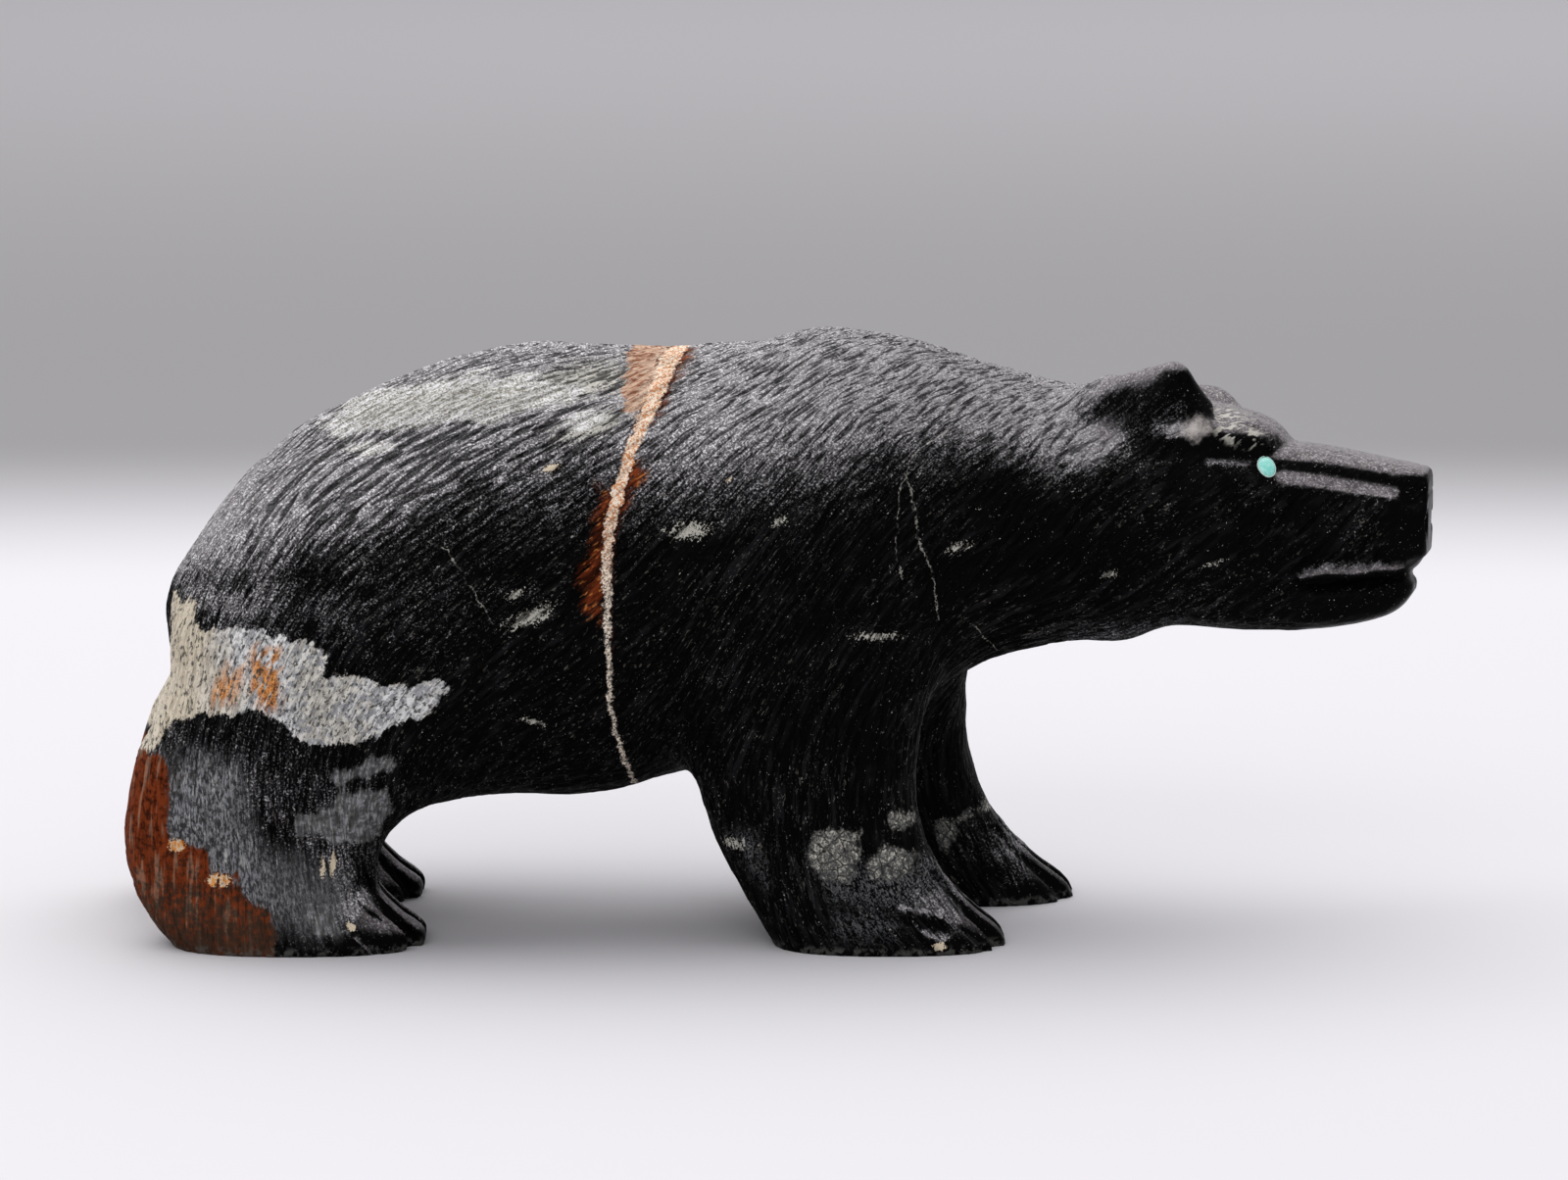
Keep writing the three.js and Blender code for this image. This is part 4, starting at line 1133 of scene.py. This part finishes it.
def dark_ground(nodes, rock, look):
    """Nearly black stone, dusty grey under painted top light on its ridges, with a painted sheen where
    polished
    """
    fine = (rock.salt - 0.5) * 1.2 + (rock.fine_hairs - 0.5) * 0.8
    # Painted top light from the grey sign, broken by clouds and grains, lays the dusty grey coat
    grey = (nodes.sign("grey") + (rock.clouds - 0.5) * 0.5 + fine * 0.8).rise(0.16, 0.86)
    dusty = nodes.coated(
        look.grey_and_lit_stone,
        (rock.salt.rise(0.5, 0.63) * (1 - rock.x.rise(-12, 14) * 0.5), look.dust),
        (rock.fine_hairs.rise(0.48, 0.36) * 0.6, look.dark_stone))
    # Painted glints along the fur's ridges
    glint = rock.hairs.rise(0.5, 0.64) * rock.clouds.rise(0.3, 0.6) * (1 - rock.smooth)
    sparse = rock.flecks.rise(0.63, 0.73) * (rock.clouds + rock.x.rise(10, -20) * 0.12).rise(0.42, 0.6)
    # Painted sheen on polished stone that faces up, broken by darker mottle and dust specks
    sheen = nodes.coated(
        look.polished_sheen,
        (rock.mottle.rise(0.44, 0.6) * 0.55, look.ridge_dark),
        (rock.salt.rise(0.54, 0.62) * 0.35, look.dust))
    lit = nodes.sign("grey").rise(0.4, 1.0)
    return nodes.coated(
        look.dark_stone,
        (glint, look.ridge_dark),
        (grey, dusty),
        (sparse * (1 - rock.smooth) * 0.5, look.olive_fleck),
        (rock.smooth * 0.9, nodes.mix(lit, look.polished_stone, sheen)))


def ash(nodes, rock, look):
    """Ash grey stone with pale streaks and darker grains, low on the hind leg"""
    return nodes.coated(
        look.speckle_shadow,
        (rock.grit.rise(0.4, 0.6), look.speckle),
        (rock.fine_hairs.rise(0.6, 0.7) * 0.6, look.speckle_light),
        (rock.mottle.rise(0.5, 0.6) * 0.6, look.speckle_shadow),
        ((rock.mottle - rock.clouds).rise(0.02, 0.1) * 0.35, look.horn),
        ((rock.x * 0.1 - rock.mottle * 1.6).rise(-5.7, -4.7) * 0.6, look.speckle_shadow))


def pale_patch(nodes, rock, look):
    """Pale stone of the small patches, streaked on the hind leg and cracked on the front one"""
    front = rock.x.rise(-22, -18)
    grains = (rock.salt * front + rock.fine_hairs * (1 - front)).rise(0.42, 0.58)
    where = {"Vector": rock.place, "Scale": 0.9}
    cells = nodes.add("ShaderNodeTexVoronoi", {"feature": "DISTANCE_TO_EDGE"}, where)
    cracked = cells.rise(0.07, 0.025) * (0.35 + rock.mottle.rise(0.44, 0.54) * 0.45) * front
    return nodes.coated(
        look.pale_shadow,
        (grains, nodes.mix(front, look.speckle, look.pale_stone)),
        (rock.mottle.rise(0.56, 0.44) * 0.65, look.speckle_shadow),
        ((rock.z * 0.12 + rock.mottle).rise(1.65, 1.2) * 0.6 * front, look.speckle_shadow),
        (cracked, look.dark_stone))


def back_patch(nodes, rock, look):
    """Pale stone of the back, dusty along its rim"""
    inner = (nodes.sign("back") + (rock.mottle - 0.5) * 2).rise(-0.3, -1.2)
    return nodes.coated(
        look.olive_stone,
        ((rock.salt + rock.fine_hairs * 0.7).rise(0.72, 0.98), look.granite),
        (inner * 0.15, look.olive_stone),
        ((1 - inner) * rock.salt.rise(0.46, 0.56) * 0.6, look.dust))


def granite(nodes, rock, look):
    """Peppered granite of the haunch, streaked with orange and creamier to the rear"""
    flame = nodes.mix((rock.salt - rock.mottle * 0.5).rise(0.24, 0.32) * 0.7, look.orange, look.rust)
    streaked = rock.patch("orange", 0.8) * rock.streaks(2.5, 2.2, 2).rise(0.36, 0.54) * 0.95
    return nodes.coated(
        look.granite_grey,
        ((rock.mottle + (rock.fine_hairs - 0.5) * 0.5).rise(0.42, 0.56), look.granite),
        ((rock.mottle - rock.clouds).rise(-0.04, 0.08) * 0.45, look.tan),
        ((rock.x + rock.ragged * 2).rise(-45.5, -50.5) * 0.7, look.cream),
        (streaked, flame),
        (rock.streaks(1.6, 4.2, 3, 0.65).rise(0.52, 0.62) * 0.85, look.pepper))


def heel_stone(nodes, rock, look):
    """Rust red stone of the heel, horn brown near the ground"""
    return nodes.coated(
        look.rust_dark,
        ((rock.mottle + (rock.fine_hairs - 0.5) * 0.3).rise(0.34, 0.58), look.rust),
        (rock.streaks(9, 2.6, 1).rise(0.56, 0.68) * 0.18, look.cream),
        ((rock.z + (rock.mottle - 0.5) * 22).rise(9, 1) * 0.8, look.horn))


def rust_coats(nodes, rock, look):
    """The rust patches and the rose field beside the vein, as coats"""
    rust = nodes.coated(
        look.rust_dark,
        (rock.hairs.rise(0.46, 0.64), look.rust),
        (rock.flecks.rise(0.56, 0.7) * 0.45, look.orange))
    by_vein = (nodes.sign("vein") + rock.ragged).rise(-2.2, -0.4)
    rose = nodes.coated(
        look.rust_light,
        (rock.streaks(3, 4.4, 2).rise(0.36, 0.6), look.rose),
        (by_vein * rock.salt.rise(0.42, 0.56) * 0.6, look.vein))
    return [
        (rock.patch("rust", 0.5) * rock.fine_hairs.rise(0.32, 0.46), rust),
        (rock.patch("rose", 0.15), rose),
    ]


def vein_coats(nodes, rock, look):
    """The vein, which widens up the side, and the rust fringe that shows in places beside it"""
    from_vein = abs(nodes.sign("vein") + rock.waver)
    half_width = 0.21 + 0.27 * rock.z.rise(24, 40) + 0.32 * rock.z.rise(43, 49)
    in_places = (rock.clouds + rock.ragged * 0.1).rise(0.44, 0.54)
    fringe = (from_vein - half_width - 0.25).rise(0.12, -0.12) * in_places
    dark_grains = nodes.mix(rock.z.rise(30, 40), look.pale_shadow, look.vein_shade)
    vein = nodes.mix((rock.salt * 0.7 + rock.mottle * 0.3).rise(0.43, 0.55), dark_grains, look.vein)
    shows = (from_vein - half_width).rise(0.1, -0.1)
    rock.groove_shade_share = rock.groove_shade_share * (1 - shows)
    return [(fringe * rock.z.rise(24, 30) * 0.8, look.rust_dark), (shows * 0.92, vein)]


def wear_coats(nodes, rock, look):
    """Hairline cracks, broken here and there, and the edges of the soles worn pale"""
    broken = nodes.noise(rock.place, 0.9, 2).rise(0.4, 0.52)
    coats = []
    for crack in ("crack", "branch_crack"):
        shows = abs(nodes.sign(crack) + rock.waver * 0.8).rise(0.1, 0.03) * broken
        coats.append((shows * 0.5, look.pale_stone))
    worn = rock.z.rise(1.0, 0.4) * nodes.noise(rock.place, 1.3, 3, 0.6).rise(0.46, 0.6)
    return coats + [(worn * 0.5, look.pale_shadow)]


def carved_stone(look):
    """Dark stone with granite, rust and pale patches, a pale vein, dusty flecks along the fur, and painted
    light and shade
    """
    material, nodes = material_named("carved_stone")
    rock = Rock(nodes)
    salt, hairs, fine_hairs = rock.salt, rock.hairs, rock.fine_hairs
    furry = 1 - rock.smooth
    # Pale spots, of which two are painted sheen on the back
    pale_spots = (nodes.sign("pale_spots") + (salt - 0.5) * 2.2 + (fine_hairs - 0.5)).rise(0.42, 0.7)
    blotch = nodes.mix(salt.rise(0.46, 0.36) * 0.4, look.blotch, look.pale_shadow)
    cream_spots = (nodes.sign("cream_spots") + (salt - 0.5) * 0.8).rise(0.46, 0.56)
    warm = rock.grain.rise(0.6, 0.4) * rock.x.rise(-40, -44)
    colour = nodes.coated(
        dark_ground(nodes, rock, look),
        (rock.patch("speckled", 1.6) * 0.9, ash(nodes, rock, look)),
        (rock.patch("raked", 1.4) * (rock.grit + salt).rise(0.9, 1.15) * 0.4, look.speckle),
        (rock.patch("pale", 0.3), pale_patch(nodes, rock, look)),
        (pale_spots * 0.8, look.pale_stone),
        (rock.patch("back", 0.3), back_patch(nodes, rock, look)),
        (rock.patch("blotch", 0.7) * 0.95, blotch),
        (rock.patch("specks", 0.6) * rock.streaks(4, 3.4, 1).rise(0.5, 0.6) * 0.8, look.pale_stone),
        (rock.patch("granite"), granite(nodes, rock, look)),
        (rock.patch("heel", 0.2), heel_stone(nodes, rock, look)),
        *rust_coats(nodes, rock, look),
        (cream_spots, nodes.mix(warm, look.cream, look.orange)),
        *vein_coats(nodes, rock, look),
        *wear_coats(nodes, rock, look))

    rump = rock.x.rise(-42, -50) * rock.z.rise(30, 36)
    # Painted shade in the fur's grooves and along dark streaks of it, less on the rump and on patches
    deep = hairs.rise(0.43, 0.35).at_least(nodes.sign("groove").rise(0.105, 0.235))
    painted_groove_shade = deep * furry * (1 - rump * 0.6)
    colour = nodes.mix(painted_groove_shade * (0.16 + 0.62 * rock.groove_shade_share), colour, look.groove_shade_colour)
    rough = 0.5 - rock.smooth * 0.2 + (rock.grain - 0.5) * 0.2
    relief = (1 - painted_groove_shade) + fine_hairs * 0.8 + (salt + hairs) * furry * 0.4
    values = {"Strength": 0.8, "Distance": look.bump_height, "Height": relief}
    bump = nodes.add("ShaderNodeBump", values=values)
    nodes.surface(Base_Color=colour, Roughness=rough, Normal=bump, Specular_IOR_Level=look.shine)
    return material


def turquoise(look):
    """Polished turquoise, a little mottled, with faint lighter veining"""
    material, nodes = material_named("turquoise")
    place = nodes.place()
    mottle = nodes.noise(place, 1.4, 3, 0.6)
    colour = nodes.mix(mottle.rise(0.35, 0.68), look.turquoise_deep, look.turquoise)
    web = abs(nodes.noise(place, 1.1, 3) - 0.5).rise(0.03, 0.005)
    colour = nodes.mix(web * 0.5, colour, look.turquoise_pale)
    nodes.surface(Base_Color=colour, Roughness=0.2 + mottle * 0.12, Coat_Weight=0.3, Coat_Roughness=0.08)
    return material


def glue_line(look):
    """The pale line of set glue and turquoise dust round an inlay"""
    material, nodes = material_named("glue_line")
    grain = nodes.noise(nodes.place(), 5, 2)
    colour = nodes.mix(grain, look.turquoise_pale, look.glue)
    nodes.surface(Base_Color=colour, Roughness=0.4 + grain * 0.2)
    return material


# How far from the bear, in metres, the paper starts and ends turning darker in painted shade, and then
# paler again
TO_DUSK = (0.187, 0.325)
TO_FAR = (0.38, 1.5)


def floor_paper(look):
    """Pale paper that darkens softly in painted shade some way off on all sides, inside a rounded square"""
    material, nodes = material_named("floor_paper")
    metres = nodes.add("ShaderNodeTexCoord", output="Object")
    x, y, _ = nodes.split(metres)
    fourth = x * x * x * x + y * y * y * y
    distance = nodes.add("ShaderNodeMath", {"operation": "POWER"}, {0: fourth, 1: 0.25})
    colour = nodes.coated(
        look.floor_near,
        (distance.rise(*TO_DUSK), look.floor_shade),
        (distance.rise(*TO_FAR), look.floor_far))
    nodes.surface(Base_Color=colour, Roughness=0.9, Specular_IOR_Level=0.1)
    return material


# What a user would change

def number(name, description, default, **kind):
    return bpy.props.FloatProperty(name=name, description=description, default=default, min=0, **kind)


def measure(name, description, default):
    return number(name, description, default, unit="LENGTH", precision=5)


def tint(name, description, default):
    return bpy.props.FloatVectorProperty(
        name=name, description=description, default=default, subtype="COLOR", size=3, min=0, max=1)


class BearStoneSettings(bpy.types.PropertyGroup):
    """Sizes of the carving and colours of the stone"""

    net: measure("Net", "Spacing of the net that the fur is cut in", 0.26 * MM)
    quick_net: measure("Quick net", "Spacing of the net for a quick look", 0.34 * MM)
    fur_length: measure("Fur length", "Length of a stroke of the fur", 3.6 * MM)
    fur_depth: measure("Fur depth", "Depth of a stroke of the fur", 0.26 * MM)
    fur_spacing: measure("Fur spacing", "Room between strokes side by side", 0.8 * MM)
    bump_height: measure("Grain height", "Height of the finest grain", 0.12 * MM)
    seed: bpy.props.IntProperty(name="Seed", description="Chooses where the strokes fall", default=7)
    shine: number("Shine", "Strength of the stone's reflections", 0.04, subtype="FACTOR", max=1)
    dark_stone: tint("Dark stone", "Most of the stone", (0.0026, 0.0026, 0.003))
    # Painted shade deep in the strokes of the fur
    groove_shade_colour: tint("Groove", "Deep in the strokes of the fur", (0.002, 0.002, 0.002))
    # Greyer stone and painted top light on the fur's ridges
    grey_and_lit_stone: tint("Grey stone", "Ridges of the fur where it is greyer", (0.26, 0.25, 0.258))
    dust: tint("Dust", "Flecks on the grey ridges", (0.78, 0.765, 0.78))
    polished_stone: tint("Polished stone", "Where no fur is cut", (0.003, 0.0028, 0.003))
    # Painted sheen of polished stone that faces up
    polished_sheen: tint("Polished top", "Polished stone that faces up", (0.185, 0.167, 0.173))
    # Painted glints along the fur's ridges, and darker mottle in the painted sheen
    ridge_dark: tint("Dark ridge", "Ridges of the fur on the dark flanks", (0.013, 0.013, 0.014))
    olive_fleck: tint("Olive fleck", "Sparse flecks on the dark flanks", (0.15, 0.145, 0.12))
    speckle: tint("Speckle", "Low on the hind leg", (0.3, 0.305, 0.315))
    speckle_shadow: tint("Speckle shadow", "Darker grains low on the hind leg", (0.055, 0.056, 0.06))
    speckle_light: tint("Speckle light", "Pale streaks low on the hind leg", (0.58, 0.58, 0.56))
    pale_stone: tint("Pale stone", "Small patches", (0.53, 0.52, 0.46))
    blotch: tint("Blotch", "Patch on the crown of the head", (0.52, 0.485, 0.465))
    pale_shadow: tint("Pale shadow", "Darker grains of the patches", (0.14, 0.14, 0.13))
    olive_stone: tint("Olive stone", "Darker grains of the patches on the back", (0.27, 0.26, 0.22))
    granite: tint("Granite", "Band on the haunch", (0.71, 0.71, 0.7))
    granite_grey: tint("Granite grey", "Greyer streaks of the band", (0.34, 0.345, 0.355))
    pepper: tint("Pepper", "Dark grains of the band", (0.06, 0.06, 0.055))
    tan: tint("Tan", "Warmer grains of the band", (0.52, 0.47, 0.36))
    cream: tint("Cream", "Warm end of the band", (0.63, 0.55, 0.42))
    orange: tint("Orange", "Streaks in the band", (0.7, 0.31, 0.085))
    rust: tint("Rust", "Lighter rust", (0.19, 0.045, 0.014))
    rust_light: tint("Light rust", "Darker streaks of the field beside the vein", (0.3, 0.14, 0.085))
    rust_dark: tint("Dark rust", "Darker rust", (0.05, 0.012, 0.005))
    horn: tint("Horn", "Low on the heel", (0.052, 0.039, 0.028))
    rose: tint("Rose", "Field beside the vein", (0.56, 0.4, 0.3))
    vein: tint("Vein", "Ring round the belly", (0.88, 0.77, 0.64))
    vein_shade: tint("Vein shade", "Darker grains of the ring", (0.6, 0.28, 0.13))


class BearEyeSettings(bpy.types.PropertyGroup):
    """Sizes and colours of the inlaid eyes"""

    width: measure("Width", "Width of an inlay along the head", 1.8 * MM)
    height: measure("Height", "Height of an inlay", 2.05 * MM)
    crown: measure("Crown", "Rise of its dome", 0.3 * MM)
    rim: measure("Rim", "Width of the line of glue round it", 0.1 * MM)
    turquoise: tint("Turquoise", "Body of the inlay", (0.37, 0.76, 0.69))
    turquoise_deep: tint("Deep turquoise", "Darker mottling", (0.24, 0.66, 0.58))
    turquoise_pale: tint("Pale turquoise", "Veining and rim", (0.6, 0.84, 0.78))
    glue: tint("Glue", "Line round the inlay", (0.5, 0.6, 0.54))


class BearStageSettings(bpy.types.PropertyGroup):
    """The floor and the studio's light"""

    floor_near: tint("Near floor", "Paper under the bear", (0.655, 0.645, 0.665))
    # Painted shade on the paper some way off
    floor_shade: tint("Dusk", "Paper some way off", (0.28, 0.275, 0.28))
    # Painted shade on the paper far off, lighter than some way off
    floor_far: tint("Far floor", "Paper far off", (0.56, 0.55, 0.565))
    top_power: number("Top light", "Power of the large light above", 10.0, unit="POWER")
    front_power: number("Front light", "Power of the weak light in front", 2.5, unit="POWER")
    sky: number("Room light", "Strength of the light from all round", 0.6)


# The steps of the making, one operator each

class BEAR_OT_carve_body(bpy.types.Operator):
    """Carve the bear's body from one stone and cut its fur"""

    bl_idname = "bear.carve_body"
    bl_label = "Carve body"

    def execute(self, context):
        settings = context.scene.bear_stone
        body = piece_of(carved_mesh(settings), "carved_bear", carved_stone(settings))
        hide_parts("bear_body")
        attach(body, "root")
        return {"FINISHED"}


DOME_ANGLES = [math.radians(degrees) for degrees in range(90, -1, -9)]
# The bead of glue round an inlay: [share of the rim's width, rise in millimetres]
GLUE_BEAD = [(0.3, 0.05), (0.7, 0.05), (1, -0.03)]
INLAY_DEPTH = 0.9 * MM


class BEAR_OT_set_eyes(bpy.types.Operator):
    """Set a domed turquoise inlay in each side of the head"""

    bl_idname = "bear.set_eyes"
    bl_label = "Set eyes"

    def execute(self, context):
        settings = context.scene.bear_eyes
        materials = [turquoise(settings), glue_line(settings)]
        radius = settings.height / 2 - settings.rim
        dome = [(radius * math.cos(angle), settings.crown * math.sin(angle)) for angle in DOME_ANGLES]
        dome[0] = (0, settings.crown)
        bead = [(radius + settings.rim * share, rise * MM) for share, rise in GLUE_BEAD]
        root = [(radius + settings.rim, -INLAY_DEPTH), (0, -INLAY_DEPTH)]
        dome_faces = (len(dome) - 1) * TURN_STEPS
        for side, name in ((RIGHT, "right"), (LEFT, "left")):
            mesh = turned_oval(dome + bead + root, settings.width / settings.height, eye_pose(side))
            eye = piece_of(mesh, f"eye_inlay_{name}", *materials)
            for face in mesh.polygons:
                face.material_index = int(face.index >= dome_faces)
            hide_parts(f"eye_{name}")
            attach(eye, "root")
        return {"FINISHED"}


def area_light(name, power, size, place, target):
    """Hangs a soft light at a place, turned to a target."""
    light = bpy.data.lights.new(name, "AREA")
    light.energy = power
    light.shape = "RECTANGLE"
    light.size, light.size_y = size
    lamp = bpy.data.objects.new(name, light)
    lamp.location = place
    lamp.rotation_euler = (Vector(target) - Vector(place)).to_track_quat("-Z", "Y").to_euler()
    bpy.context.collection.objects.link(lamp)


FLOOR_RADIUS = 6
ROOM_COLOUR = (0.92, 0.91, 0.94, 1)
# Width and length, place and target of the lights, in metres
TOP_LIGHT = ((1.9, 1.2), (-0.12, 0.3, 0.95), (0, 0.05, 0))
FRONT_LIGHT = ((0.9, 0.5), (-0.2, -1.0, 0.7), (0, 0, 0.03))


class BEAR_OT_set_stage(bpy.types.Operator):
    """Lay the pale floor, hang the soft lights and place the camera"""

    bl_idname = "bear.set_stage"
    bl_label = "Set stage"

    def execute(self, context):
        settings = context.scene.bear_stage
        work = bmesh.new()
        bmesh.ops.create_circle(work, cap_ends=True, radius=FLOOR_RADIUS, segments=96)
        floor = piece_of(finished_mesh(work, "floor"), "floor", floor_paper(settings))
        area_light("top_light", settings.top_power, *TOP_LIGHT)
        area_light("front_light", settings.front_power, *FRONT_LIGHT)
        world = bpy.data.worlds.new("room")
        context.scene.world = world
        nodes = Nodes(world)
        values = {"Color": ROOM_COLOUR, "Strength": settings.sky}
        sky = nodes.add("ShaderNodeBackground", values=values)
        nodes.add("ShaderNodeOutputWorld", values={"Surface": sky})
        context.scene.view_settings.view_transform = "Standard"
        context.scene.view_settings.look = "Medium High Contrast"
        place_camera(context.scene)
        return {"FINISHED"}


FOCAL_LENGTH = 142.23       # in millimetres, as the sensor's width is
SENSOR_WIDTH = 36
CAMERA_TARGET = Vector((0.788, 0.007, 29.555)) * MM
CAMERA_DISTANCE = 549.7 * MM
CAMERA_HEIGHT_ANGLE = math.radians(9)


def place_camera(scene):
    """Sets a camera square to the bear's right side, a little above it."""
    camera = bpy.data.cameras.new("camera")
    camera.lens = FOCAL_LENGTH
    camera.sensor_width = SENSOR_WIDTH
    camera.clip_start = 0.01
    camera.clip_end = 20
    holder = bpy.data.objects.new("camera", camera)
    looking = Vector((0, math.cos(CAMERA_HEIGHT_ANGLE), -math.sin(CAMERA_HEIGHT_ANGLE)))
    holder.location = CAMERA_TARGET - CAMERA_DISTANCE * looking
    holder.rotation_euler = looking.to_track_quat("-Z", "Y").to_euler()
    scene.collection.objects.link(holder)
    scene.camera = holder


class BEAR_PT_steps(bpy.types.Panel):
    """Lists the bear's sizes, colours and steps."""

    bl_idname = "BEAR_PT_steps"
    bl_label = "Carved bear"
    bl_space_type = "VIEW_3D"
    bl_region_type = "UI"
    bl_category = "Bear"

    def draw(self, context):
        for step, group, _ in STEPS:
            box = self.layout.box()
            box.operator(step.bl_idname)
            settings = getattr(context.scene, group)
            for name in settings.__annotations__:
                box.prop(settings, name)


STEPS = [
    (BEAR_OT_carve_body, "bear_stone", BearStoneSettings),
    (BEAR_OT_set_eyes, "bear_eyes", BearEyeSettings),
    (BEAR_OT_set_stage, "bear_stage", BearStageSettings),
]


def register():
    for step, name, group in STEPS:
        bpy.utils.register_class(group)
        setattr(bpy.types.Scene, name, bpy.props.PointerProperty(type=group))
        bpy.utils.register_class(step)
    bpy.utils.register_class(BEAR_PT_steps)


def unregister():
    bpy.utils.unregister_class(BEAR_PT_steps)
    for step, name, group in reversed(STEPS):
        bpy.utils.unregister_class(step)
        delattr(bpy.types.Scene, name)
        bpy.utils.unregister_class(group)


def main():
    register()
    bpy.ops.bear.carve_body()
    bpy.ops.bear.set_eyes()
    bpy.ops.bear.set_stage()


if __name__ == "__main__":
    main()
